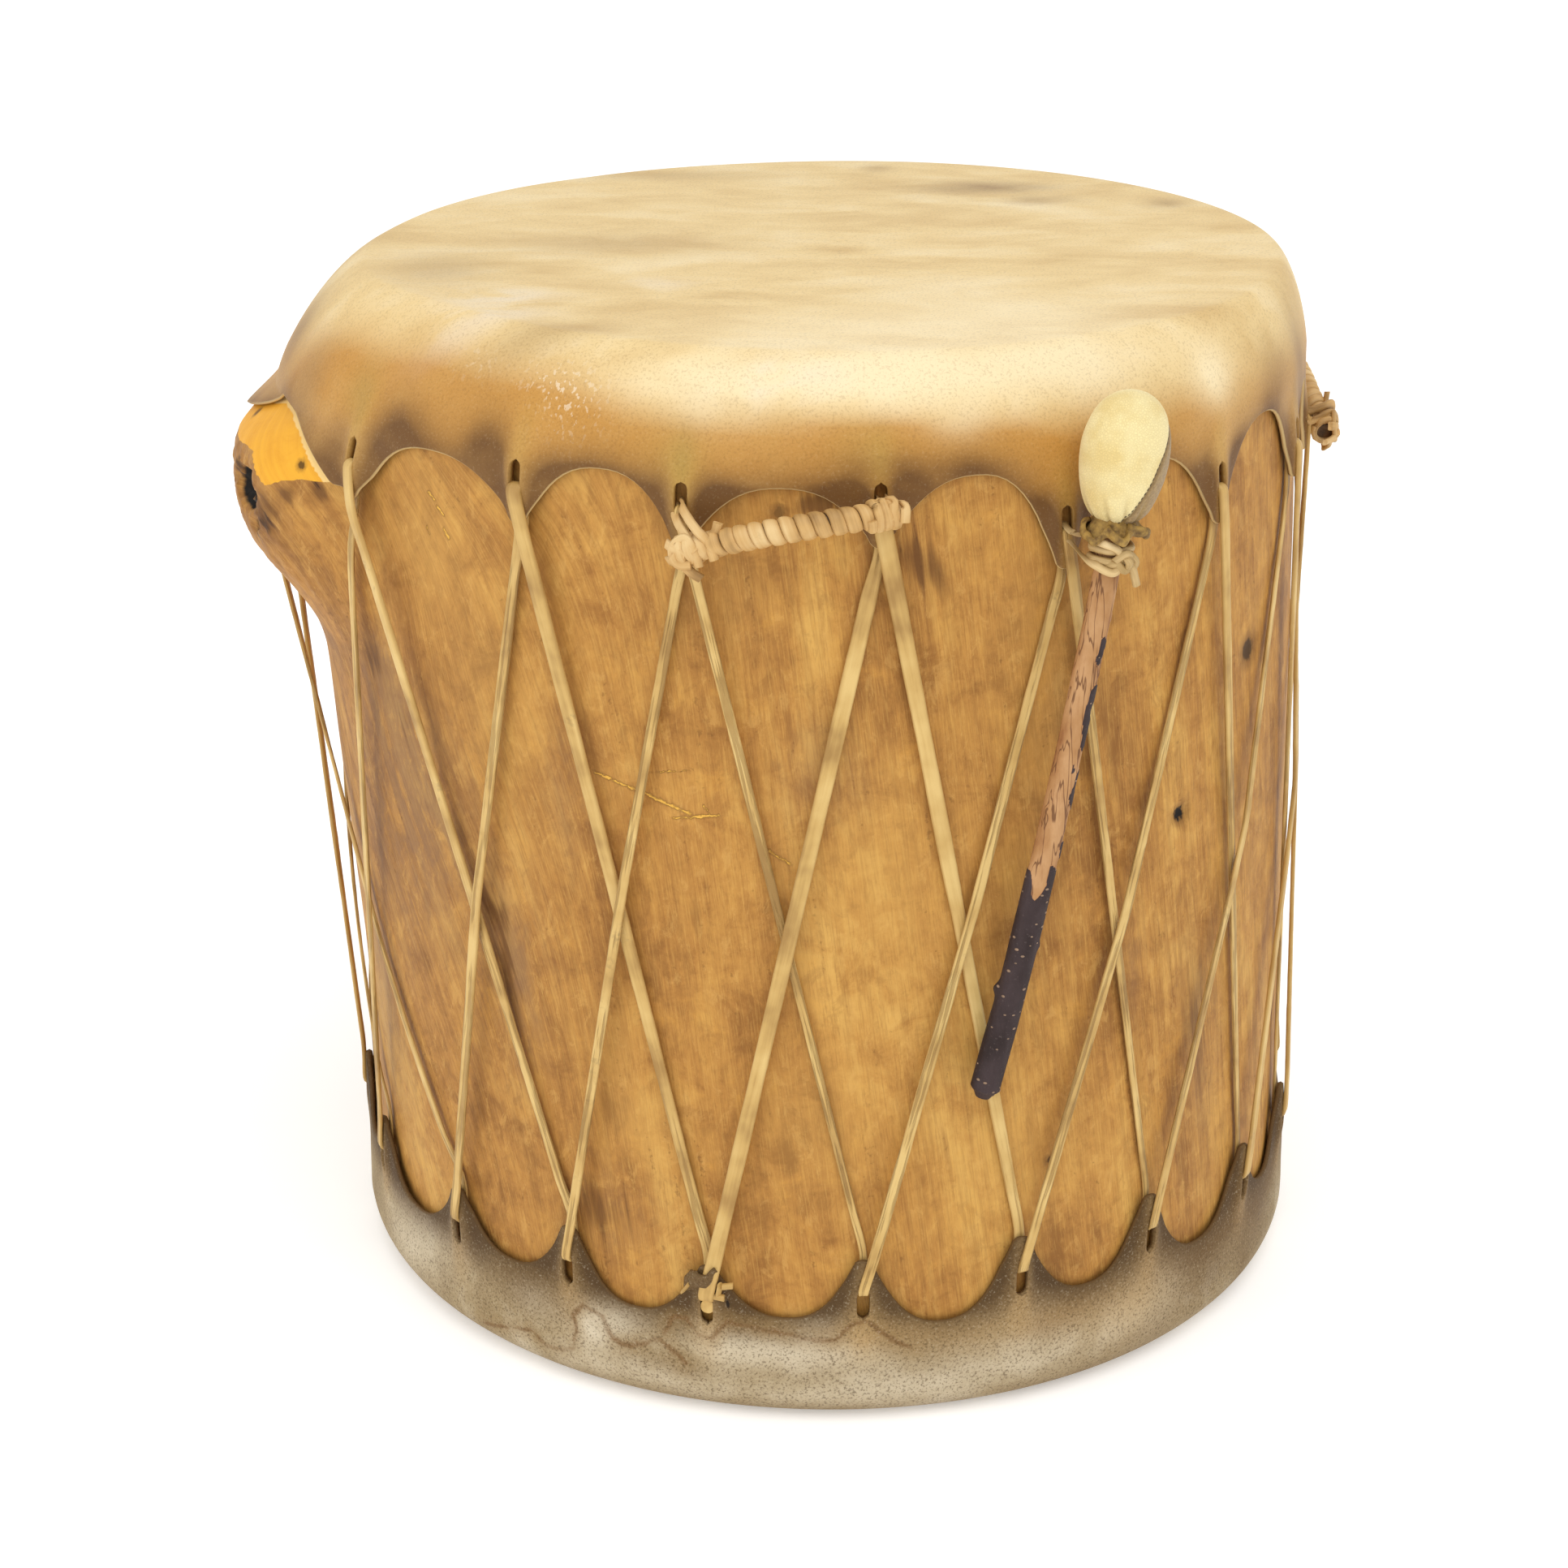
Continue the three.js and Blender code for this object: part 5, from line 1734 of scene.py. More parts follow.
@dataclass
class Lacing:
    """The two thongs that pull the heads together."""

    width: float = 7.0
    thick: float = 2.0
    stops: int = 16
    usual: float = 0.8
    down_wide: Tuple[Tuple[int, float], ...] = ((1, 0.9), (2, 1.0), (3, 0.66), (4, 1.05), (5, 0.72))
    up_wide: Tuple[Tuple[int, float], ...] = (
        (1, 0.7), (2, 0.74), (3, 0.64), (4, 0.98), (5, 0.7), (6, 0.7), (7, 0.66),
    )
    flare: float = 1.05
    pinch: float = 0.72
    passes: int = 500
    step: float = 3.2
    breadth_scale: float = 20.0

    @property
    def behind(self) -> float:
        """How far the thong's middle is from the wood behind a tab."""
        return FORM.fit + self.thick / 2

    @property
    def over(self) -> float:
        """How far it is from the wood on a tab's face."""
        return self.thick + 2 * FORM.fit + FORM.hide + FORM.fit + self.thick / 2

    def through(self, tab: Tab) -> Array:
        """Points behind a tab, round its slot's end and over its face."""
        near = float(FORM.strip_radius(tab.angle, tab.slot_near))
        tip = float(FORM.strip_radius(tab.angle, tab.tip))
        middle, bend = near + (self.behind + self.over) / 2, (self.over - self.behind) / 2
        beta = np.linspace(0, math.pi, 7)
        turn = polar(tab.angle, middle - bend * np.cos(beta), tab.slot_near - tab.point * bend * np.sin(beta))
        start = polar(tab.angle, tip + self.behind, tab.tip + tab.point * 3)
        return np.vstack([start[None], turn])

    def off(self, tab: Tab, far: Tab) -> Array:
        """Point where a thong that leaves over a tab's face clears the tip."""
        run = abs(far.tip - tab.slot_near)
        lean = float(wrap(far.angle - tab.angle)) * (tab.bar + 3) / run
        drift = float(np.clip(lean, -FORM.strip, FORM.strip))
        tip = max(float(FORM.strip_radius(tab.angle + k, tab.tip)) for k in (0, drift))
        return polar(tab.angle + drift, tip + self.over, tab.tip + tab.point * 3)

    def floor(self, run: Array) -> Array:
        """Least radius of a thong's middle at each point."""
        angle = np.arctan2(run[:, 0], -run[:, 1])
        return FORM.strip_radius(angle, run[:, 2]) + FORM.fit + self.thick / 2 + 0.2 + 1.1 * FORM.swell(angle)

    def taut(self, start: Array, end: Array, below: Optional[Array] = None) -> Array:
        """A thong pulled tight between two points, held out by the wood and by a thong below it.

        Args:
            start: Where it starts.
            end: Where it ends.
            below: The thong that it crosses over, if any.

        Returns:
            Its points, ends included.
        """
        t = np.linspace(0, 1, self.stops + 2)[:, None]
        run = lerp(start[None], end[None], t)
        for _ in range(self.passes):
            run[1:-1] = 0.5 * run[1:-1] + 0.25 * (run[:-2] + run[2:])
            floor = self.floor(run)
            if below is not None:
                floor = np.maximum(floor, self.over_other(run, below))
            reach = np.hypot(run[:, 0], run[:, 1])
            push = np.maximum(1, floor / reach)
            push[[0, -1]] = 1
            run[:, :2] *= push[:, None]
        return run

    def over_other(self, run: Array, below: Array) -> Array:
        """Radius at which a thong clears another where they cross."""
        order = np.argsort(below[:, 2])
        spots = np.stack([np.interp(run[:, 2], below[order, 2], below[order, k]) for k in (0, 1)], axis=1)
        apart = np.arctan2(spots[:, 0], -spots[:, 1]) - np.arctan2(run[:, 0], -run[:, 1])
        aside = np.abs(wrap(apart)) * FORM.foot_radius
        held = np.hypot(spots[:, 0], spots[:, 1]) + self.thick + FORM.fit + 0.2
        return np.where(aside < 1.9 * self.width, held, 0)

    def spans(self) -> Tuple[List[Array], List[Array]]:
        """Spans that go down and lie under, and spans that go up over them."""
        down = []
        for i, upper in enumerate(UPPER_TABS):
            lower = LOWER_TABS[(i + 2) % TAB_COUNT]
            down.append(self.taut(self.off(upper, lower), self.through(lower)[0]))
        up = []
        for j, lower in enumerate(LOWER_TABS):
            end = self.through(UPPER_TABS[j])[0]
            up.append(self.taut(self.off(lower, UPPER_TABS[j]), end, down[j - 1]))
        return down, up

    def build(self, straps: Growth) -> List[Piece]:
        """Builds and dresses both thongs."""
        down, up = self.spans()
        down_wide, up_wide = dict(self.down_wide), dict(self.up_wide)
        finish = LACING_THONG.make()
        made = []
        for name, first, node in (("thong_one", 2, "lace_one"), ("thong_two", 9, "lace_two")):
            stations, breadth = [], []
            for i in range(first, first + TAB_COUNT, 2):
                i, j = i % TAB_COUNT, (i + 2) % TAB_COUNT
                over, back = self.through(UPPER_TABS[i]), self.through(LOWER_TABS[j])
                fall, rise = down_wide.get(i, self.usual), up_wide.get(j, self.usual)
                for run, start, end in (
                    (over, rise, fall * self.flare), (down[i][:-1], fall * self.flare, fall * self.pinch),
                    (back, fall * self.pinch, rise), (up[j][:-1], rise, rise),
                ):
                    stations.append(run)
                    breadth.append(np.linspace(start, end, len(run)))
            pieces = [self.sweep(name, np.vstack(stations), np.concatenate(breadth), straps, finish)]
            if name == "thong_one":
                pieces += self.pegs(straps, finish)
            made.append(settle(join_pieces(name, pieces), "lacing", node))
        self.torn_tab()
        return made

    @staticmethod
    def pegs(straps: Growth, finish: Material) -> List[Piece]:
        """Short stubs of thong at the lower tab where the ends are joined."""
        made = []
        stubs = (
            ((-12.6, 63.8, 6.4), (-12.4, 68.8, 7.2), 3.2), ((-12.2, 68.0, 6.6), (-11.0, 68.7, 6.0), 2.9),
            ((-13.5, 62.7, 6.0), (-12.0, 61.8, 5.6), 3.0), ((-17.0, 60.4, 2.6), (-15.9, 67.2, 6.0), 2.4),
            ((-13.9, 57.2, 1.5), (-13.9, 56.6, 5.8), 6.2),
        )
        for k, (start, end, wide) in enumerate(stubs):
            run = lerp(FORM.on_wood(*start)[None], FORM.on_wood(*end)[None], np.linspace(0, 1, 5)[:, None])
            stub = path_piece(f"peg_{k}", run, facing=np.tile([0.0, 0.0, 1.0], (5, 1)))
            made.append(straps.grow(stub, finish, Width=wide * MM, Thickness=wide * 1.05 * MM, Curl=0.0))
        return made

    @staticmethod
    def torn_tab() -> None:
        """The ragged lip of the lower tab, under which the joined ends are tucked."""
        rim = np.array(TORN_RIM, float)
        across = np.linspace(rim[0, 0], rim[-1, 0], 40)
        share = np.linspace(0, 1, 16)[:, None]
        z = lerp(59.5, np.interp(across, rim[:, 0], rim[:, 1])[None], share)
        hump = np.cos(np.clip((across + 14.4) / 2.4, -1, 1) * math.pi / 2)
        curl = 2.6 * smooth(-13.8, -12.9, across) * share**3
        lift = 3.4 + 6.0 * hump * smooth(0.0, 0.75, share) + curl
        angle = np.broadcast_to(across * DEG, z.shape)
        reach = FORM.wood_radius(angle, z) + lift
        crumple = 0.7 * ripple(polar(angle, reach, z), 7, 65) * share
        faces = [polar(angle, reach + crumple - inset, z).reshape(-1, 3) for inset in (0.0, 1.7)]
        sheet = grid_faces(*z.shape, ring=False)
        ids = np.arange(z.size).reshape(z.shape)
        loop = np.concatenate([ids[0], ids[1:, -1], ids[-1, -2::-1], ids[-2:0:-1, 0]])
        walls = [(a, b, b + z.size, a + z.size) for a, b in zip(loop, np.roll(loop, -1))]
        sheet += [tuple(k + z.size for k in reversed(f)) for f in sheet] + [tuple(map(int, w)) for w in walls]
        brown = np.full(2 * z.size, 0.9)
        finish = bpy.data.materials[LOWER_RAWHIDE.name]
        piece = make_piece("torn_tab", np.vstack(faces), sheet, finish, gold=brown, dusk=brown * 0.45)
        face_out(piece)
        settle(piece, "lower_hide")

    def sweep(self, name: str, stations: Array, breadth: Array, straps: Growth, finish: Material) -> Piece:
        """Makes one closed thong through its stations; narrow stretches show the rougher side."""
        marked = np.column_stack([stations, breadth * self.breadth_scale])
        path = smooth_path(marked, self.step, True)
        points = path[:, :3]
        along = unit(np.roll(points, -1, axis=0) - np.roll(points, 1, axis=0))
        across = np.stack([-points[:, 1], points[:, 0], np.zeros(len(points))], axis=1)
        across -= along * np.sum(across * along, axis=1, keepdims=True)
        facing = np.cross(along, unit(across))
        wide = np.clip(path[:, 3] / self.breadth_scale, 0.5, 1.15)
        reverse = smooth(0.82, 0.72, wide)
        piece = path_piece(name, points, True, facing, wide * (1 + 0.05 * ripple(points, 60, 61)), reverse)
        return straps.grow(piece, finish, Width=self.width * MM, Thickness=self.thick * 1.2 * MM)


@dataclass
class Grip:
    """A cord bar wound with a thong, tied into two neighbouring slots."""

    name: str
    node: str
    left: Tab
    right: Tab
    turns: float = 15.0
    standoff: float = 14.6
    bow: float = 4.5
    core: float = 3.9
    drop: float = 13.0
    tucked: float = 0.0

    def bar(self) -> Array:
        """Points along the middle of the bar."""
        start, end = self.left.angle + 0.4 * DEG, self.right.angle + 1.4 * DEG
        t = np.linspace(0, 1, 40)
        z = lerp(self.left.slot_near - self.drop, self.right.slot_near + 4, t) + 3.5 * np.sin(math.pi * t)
        reach = lerp(FORM.wood_radius(start, 405.0), FORM.wood_radius(end, 420.0), t)
        lift = self.standoff + self.bow * np.sin(math.pi * t) - self.tucked * smooth(0.0, 0.4, t)
        return polar(lerp(start, end, t), reach + lift, z)

    def build(self, straps: Growth, windings: Growth) -> Piece:
        """Builds and dresses the grip."""
        finish = GRIP_THONG.make()
        # The core is dark brown so that the gaps between the turns show painted shade.
        gap_shade = Plain("grip_core_shade", "6b4d2b", "3a2817").make()
        bar = self.bar()
        rod = path_piece(self.name + "_core", bar)
        straps.grow(rod, gap_shade, Width=2 * self.core * MM, Thickness=2 * self.core * 0.96 * MM, Wobble=0.0)
        wound = path_piece(self.name + "_winding", bar)
        windings.grow(wound, finish, Turns=self.turns, Width=0.0066, Curl=-0.0009, Lean=0.2, Unevenness=1.1)
        pieces = [rod, wound]
        for k, (part, turns, girth) in enumerate(((bar[:5], 2.6, 1.25), (bar[-6:], 3.6, 1.22))):
            ball = path_piece(f"{self.name}_end_{k}", part, girth=girth)
            sizes = {"Width": 0.0048, "Thickness": 0.0022, "Unevenness": 1.8, "Curl": -0.0007}
            pieces.append(windings.grow(ball, finish, Turns=turns, **sizes))
        for k, run in enumerate(self.strands(bar)):
            strand = path_piece(f"{self.name}_strand_{k}", smooth_path(run, 1.2))
            pieces.append(straps.grow(strand, finish, Width=0.0042, Thickness=0.0022))
        return settle(join_pieces(self.name, pieces), "grip_wrap", self.node)

    def strands(self, bar: Array) -> List[Array]:
        """Control points of the strands that go into the slots and of the loose ends."""
        left, right = bar[1], bar[-2]
        into_left = FORM.on_wood(self.left.angle / DEG, self.left.slot_near + 4, 1.5)
        into_right = FORM.on_wood(self.right.angle / DEG, self.right.slot_near + 6, 1.5)
        side = polar(self.left.angle + math.pi / 2, 1.0, 0.0)
        at_left = (
            ((into_left, (0, 0, 0), (6.5, 1, 0)), (left, (3.5, 7, 10), (4.5, 12, 6), (5.6, 15, -1))),
            ((into_left, (0, -1.5, -1.5), (5.5, -2, -4)), (left, (3, 2, 7), (5.8, 6, 3), (4, 8, -5))),
            ((left, (3, 9, 5), (1.5, 14, 9), (2, 15.5, 13.5)),),
            ((left, (5.8, 3, 0), (4.5, -3, 2), (2, -6.5, 3)),),
            ((left, (5, 2, -3), (4, -4, -3.5), (0, -6.5, -5)),),
            ((left, (3, 1, -5), (3, 5, -8.5), (1, 8, -11)),),
            ((left, (6, 7, 2), (4, 2, 6.5), (4, -3, 2), (5, -1, -4), (5.5, 5, -4)),),
        )
        at_right = (
            ((into_right, (0, 0, 0), (7, 0, 0)), (right, (4, 0, 6), (5.6, 0, -1))),
            ((into_right, (0, 2, 0), (6, 4, 0)), (right, (4, 5, 4), (4.5, 5, -2))),
        )
        made = []
        for tab, runs in ((self.left, at_left), (self.right, at_right)):
            made += [strand_points(polar(tab.angle, 1.0, 0.0), side, run) for run in runs]
        return made


# The beater


@dataclass
class Beater:
    """The stick, its stuffed head, the gathered frill and the tie."""

    top: Triple = (27.8, 238.5, 405.0)
    bend: Triple = (22.4, 236.0, 269.0)
    end: Triple = (16.0, 233.4, 164.0)
    crown: Triple = (29.4, 240.6, 470.2)
    stick_radius: float = 6.2
    head_radius: float = 20.2
    head_height: float = 57.4
    head_slack: float = 1.3
    head_inset: float = 1.2
    neck_above: float = 1.6
    frill_height: float = 8.0
    frill_thickness: float = 0.9
    seam_way: Triple = (0.80, 0.35, -0.45)
    seam_at: float = 7.0
    bark_from: float = 0.55
    twigs: Tuple[Tuple[float, ...], ...] = (
        (0.79, 1.7, 0.012, 1.8), (0.44, 0.7, 0.008, 0.9), (0.69, -1.5, 0.008, 0.7),
    )
    voxel: float = 1.6
    pressure: float = 4.0
    swell_steps: int = 20
    most_swell: float = 1.6

    @staticmethod
    def place(spot: Triple) -> Array:
        """Point for an angle in degrees, a reach and a height."""
        return polar(spot[0] * DEG, spot[1], spot[2])

    def stick_line(self, t: Array) -> Array:
        """Points on the stick's middle line, from the head down."""
        a, b, c = self.place(self.top), self.place(self.bend), self.place(self.end)
        t = t[:, None]
        return (1 - t) ** 2 * a + 2 * t * (1 - t) * b + t * t * c

    def build(self, straps: Growth, windings: Growth) -> None:
        """Builds and dresses every piece of the beater."""
        stick = self.build_stick()
        dots = bpy.data.objects.new("beater_lenticels", stick.data.copy())
        bpy.context.scene.collection.objects.link(dots)
        lenticel_tree().grow(dots, Plain("lenticel", "9c8068", "735c49").make())
        settle(dots, "stick_wood")
        self.build_head()
        self.build_frill()
        self.build_tie(straps, windings)

    def build_stick(self) -> Piece:
        """Builds the branch, with the bark that is left on it."""
        rows, sides = 300, 44
        t = np.linspace(-0.045, 1, rows)
        line = self.stick_line(t)
        along = unit(np.gradient(line, axis=0))
        side = unit(np.cross(along, np.array([0.0, -1.0, 0.0])))
        front = np.cross(side, along)
        beta = np.arange(sides) / sides * TAU
        spoke = side[:, None] * np.sin(beta)[None, :, None] + front[:, None] * np.cos(beta)[None, :, None]
        spot = line[:, None] + spoke * self.stick_radius
        share = np.broadcast_to(t[:, None], (rows, sides))
        tongue = 0.05 * np.maximum(0, 1 - np.abs(wrap(beta - 0.15)) / 0.9)[None] + 0.01 * ripple(spot, 8, 71)
        bark = smooth(-0.008, 0.008, share - self.bark_from - tongue)
        strip = np.exp(-((wrap(beta + 0.95) / 0.55) ** 2))[None]
        flakes = smooth(0.42, 0.55, 1.5 * ripple(spot, 9, 72, 1.6) + 0.9 * strip - 0.4)
        flakes = flakes * smooth(0.0, 0.2, share)
        bark = np.maximum(bark, flakes * smooth(0.2, 0.5, strip))
        radius = self.stick_radius * lerp(0.94, 1.04, share)
        radius = radius - 0.5 * (1 - bark) + 0.22 * ripple(spot, 16, 73, 3)
        for where, around, size, out in self.twigs:
            gap = ((share - where) / size) ** 2
            radius = radius + out * np.exp(-gap - (wrap(beta - around) / 0.32) ** 2)
        radius = radius * (1 - 0.24 * smooth(0.992, 1.0, share) ** 2)
        points = (line[:, None] + spoke * radius[..., None]).reshape(-1, 3)
        tail = line[-1] + 3.0 * along[-1]
        cap = tail + spoke[-1] * 3.2
        points = np.vstack([points, cap, line[:1], tail[None] + 0.5 * along[-1]])
        faces = grid_faces(rows + 1, sides) + cap_faces(rows + 1, sides)
        marks = np.concatenate([bark.ravel(), np.full(sides, 0.8), [0.0, 0.5]])
        piece = make_piece("beater_branch", points, faces, Branch().make(), bark=marks)
        face_out(piece)
        return settle(piece, "stick_wood", "beater_stick")

    def neck(self) -> Array:
        """Point where the head is tied to the stick."""
        return self.place(self.top) + np.array([0.0, 0.0, self.neck_above])

    def head_axis(self) -> Tuple[Array, Array]:
        """Lowest and highest point of the stuffed head's middle line."""
        crown = self.place(self.crown)
        tall = crown - self.neck()
        return crown - tall * (self.head_height / tall[2]), crown

    def build_head(self) -> None:
        """Builds the stuffed head by swelling a slightly small bag, then adds its seam and stitches."""
        low, high = self.head_axis()
        rows, sides = 48, 64
        beta = np.linspace(-0.5, 0.5, rows)[1:-1] * math.pi
        around = np.arange(sides) / sides * TAU
        share = (np.sin(beta) + 1) / 2
        reach = (self.head_radius - self.head_slack) * np.cos(beta) ** lerp(0.6, 0.9, share)
        reach = reach * lerp(0.93, 1.0, share)
        ring = np.stack([np.sin(around), -np.cos(around), np.zeros(sides)], axis=1)
        line = lerp((low + self.head_inset)[None], (high - self.head_inset)[None], share[:, None])
        points = (line[:, None] + ring[None] * reach[:, None, None]).reshape(-1, 3)
        inset = np.array([0.0, 0.0, self.head_inset])
        points = np.vstack([points, low + inset, high - inset])
        faces = grid_faces(rows - 2, sides) + cap_faces(rows - 2, sides)
        piece = make_piece("beater_head", points, faces)
        face_out(piece)
        self.swell_bag(piece)
        self.shape_bag(piece, low, high)
        piece.data.materials.append(PadLeather().make())
        settle(piece, "pad_leather", "beater_pad")
        self.build_stitches(piece, (low + high) / 2)

    def swell_bag(self, piece: Piece) -> None:
        """Remeshes the bag, blows it up as cloth for a moment and keeps the result."""
        remesh = piece.modifiers.new("even", "REMESH")
        remesh.mode, remesh.voxel_size = "VOXEL", self.voxel * MM
        piece.data = bake(piece)
        start = points_of(piece.data)
        cloth = piece.modifiers.new("swell", "CLOTH")
        cloth.settings.use_pressure = True
        cloth.settings.uniform_pressure_force = self.pressure
        cloth.settings.effector_weights.gravity = 0.0
        cloth.settings.quality = 5
        scene = bpy.context.scene
        for step in range(1, self.swell_steps + 1):
            scene.frame_set(step)
        made = bake(piece)
        scene.frame_set(1)
        moved = points_of(made) - start
        size = np.linalg.norm(moved, axis=1, keepdims=True)
        moved *= np.minimum(1, self.most_swell * MM / np.maximum(size, 1e-9))
        move_points(made, start + moved)
        piece.data = made

    def shape_bag(self, piece: Piece, low: Array, high: Array) -> None:
        """Refines the bag, presses its seam in, gathers it at the neck and marks its panels."""
        finer = piece.modifiers.new("finer", "SUBSURF")
        finer.levels = finer.render_levels = 1
        piece.data = bake(piece)
        points = points_of(piece.data) / MM
        middle = (low + high) / 2
        gap = points - middle
        way = unit(np.array(self.seam_way))
        past = gap @ way - self.seam_at
        seam = np.exp(-((past / 0.8) ** 2))
        share = (points[:, 2] - low[2]) / (high[2] - low[2])
        around = np.arctan2(gap[:, 0], -gap[:, 1])
        neck = smooth(0.34, 0.05, share)
        pleat = neck * np.maximum(0, np.cos(around * 9 + 1.2 * np.sin(around * 2))) ** 3
        line = lerp(low[None], high[None], share[:, None])
        out = points - line
        dents = 0.35 * ripple(points, 22, 81)
        reach = np.linalg.norm(out, axis=1, keepdims=True)
        grown = reach - 0.8 * seam[:, None] - 1.3 * pleat[:, None] + np.minimum(0, dents - 0.1)[:, None]
        points = line + out * (np.maximum(grown, 0.2) / np.maximum(reach, 1e-6))
        move_points(piece.data, points * MM)
        # The pleat mark darkens the pleats in the finish: painted shade in their folds.
        add_marks(piece.data, {"panel": smooth(-0.4, 0.4, past), "seam": seam * 0.8, "pleat_shade": pleat})
        piece.data.shade_smooth()

    def build_stitches(self, head: Piece, middle: Array) -> None:
        """Sets stitches where the seam's plane cuts the head."""
        way = Vector(self.seam_way).normalized()
        work = bmesh.new()
        work.from_mesh(head.data)
        everything = work.verts[:] + work.edges[:] + work.faces[:]
        spot = Vector(middle * MM) + way * (self.seam_at - 0.9) * MM
        cut = bmesh.ops.bisect_plane(work, geom=everything, plane_co=spot, plane_no=way)["geom_cut"]
        edges = [e for e in cut if isinstance(e, bmesh.types.BMEdge)]
        verts = sorted({v for e in edges for v in e.verts}, key=lambda v: v.index)
        numbers = {v: k for k, v in enumerate(verts)}
        points = np.array([v.co[:] for v in verts]) / MM
        pairs = [(numbers[e.verts[0]], numbers[e.verts[1]]) for e in edges]
        work.free()
        piece = make_piece("beater_stitches", points, (), None, pairs)
        stitch_tree().grow(piece, Plain("stitch_thread", "4a3a22", "2e2416").make())
        settle(piece, "pad_leather")

    def build_frill(self) -> None:
        """Builds the gathered hem that stands out below the tied neck."""
        low = self.neck()
        rows, sides = 26, 192
        t = np.linspace(0, 1, rows)[:, None]
        beta = (np.arange(sides) / sides * TAU)[None]
        turn = 5 * beta + 1.1 * np.sin(2 * beta) + 0.6
        lobe = np.sin(turn) + 0.3 * np.sin(11 * beta + 2)
        curl = 3.6 * smooth(0.5, 1.0, t)
        reach = lerp(7.2, 12.0, smooth(0.1, 0.62, t)) + 2.1 * np.sin(curl) + 2.2 * t * lobe
        rise = 2.2 * (1 - np.cos(curl)) + 2.6 * t * np.cos(turn + 0.9) + 0.6 * t * np.sin(13 * beta)
        height = lerp(self.frill_height + 4.0, 2.6, smooth(0.0, 0.6, t)) + rise
        outer = low + polar(beta, reach, np.maximum(0.4, height))
        onward = np.roll(outer, -1, axis=1) - np.roll(outer, 1, axis=1)
        across = np.cross(np.gradient(outer, axis=0), onward)
        inner = outer + self.frill_thickness * unit(across)
        points = np.vstack([outer.reshape(-1, 3), inner.reshape(-1, 3)])
        faces = grid_faces(rows, sides)
        size = rows * sides
        faces += [tuple(size + k for k in reversed(f)) for f in grid_faces(rows, sides)]
        for row in (0, rows - 1):
            ring = row * sides + np.arange(sides)
            faces += strip_faces(ring, size + ring)
        piece = make_piece("beater_frill", points, faces, Plain("frill_leather", "a8853f", "5e4219").make())
        face_out(piece)
        settle(piece, "pad_leather")

    def build_tie(self, straps: Growth, windings: Growth) -> None:
        """Builds the thong that ties the beater to its tab, with its knot and tail."""
        finish = TIE_THONG.make()
        tab = UPPER_TABS[5]
        hole = FORM.on_wood(tab.angle / DEG, tab.slot_near + 5, 1.5)
        high, low = self.stick_line(np.array([-0.005, 0.03]))
        neck = lerp(high[None], low[None], np.linspace(0, 1, 8)[:, None])
        rings = path_piece("tie_rings", neck)
        windings.grow(rings, finish, Turns=2.2, Reach=0.0082, Width=0.0034, Thickness=0.0026, Lean=0.0)
        out, side = polar(tab.angle, 1.0, 0.0), polar(tab.angle + math.pi / 2, 1.0, 0.0)
        knot = strand_points(out, side, ((low, (9.0, 1.5, 3.5)),))[0]
        runs = (
            ((hole, (0, 0, 0), (7, 0, -2)), (high, (6, -9, 2), (9.6, -3, -1)), (knot, (0, 0, 0))),
            ((hole, (0, 0, -2), (5.5, 0, -6)), (low, (5, -9, 2), (9.4, -3, -1)), (knot, (0, 0, -1.5))),
            ((knot, (0, -4, 0), (2.6, 0, 3.6), (0, 4, 0), (2, 0, -3.6), (0, -3, 0)),),
            ((knot, (0, 0, 3), (3.8, 1, 0), (0, 1.5, -4), (-1, 0, 0)),),
            ((knot, (0, 3, 2.5), (1, 5.5, -1), (1, 3, -4.5)),),
            ((knot, (0, 0, 0), (2, 3, -2.5), (1.5, 5, -7), (1, 6.5, -11)),),
            ((low, (3, -7, 0), (9, -2, 2.5), (6, 6, 3), (-2, 9, 1)),),
        )
        pieces = [rings]
        for k, run in enumerate(runs):
            strand = path_piece(f"tie_strand_{k}", smooth_path(strand_points(out, side, run), 1.0))
            pieces.append(straps.grow(strand, finish, Width=0.0034, Thickness=0.0026))
        settle(join_pieces("beater_thong", pieces), "tie_thong", "beater_tie")


# The stage


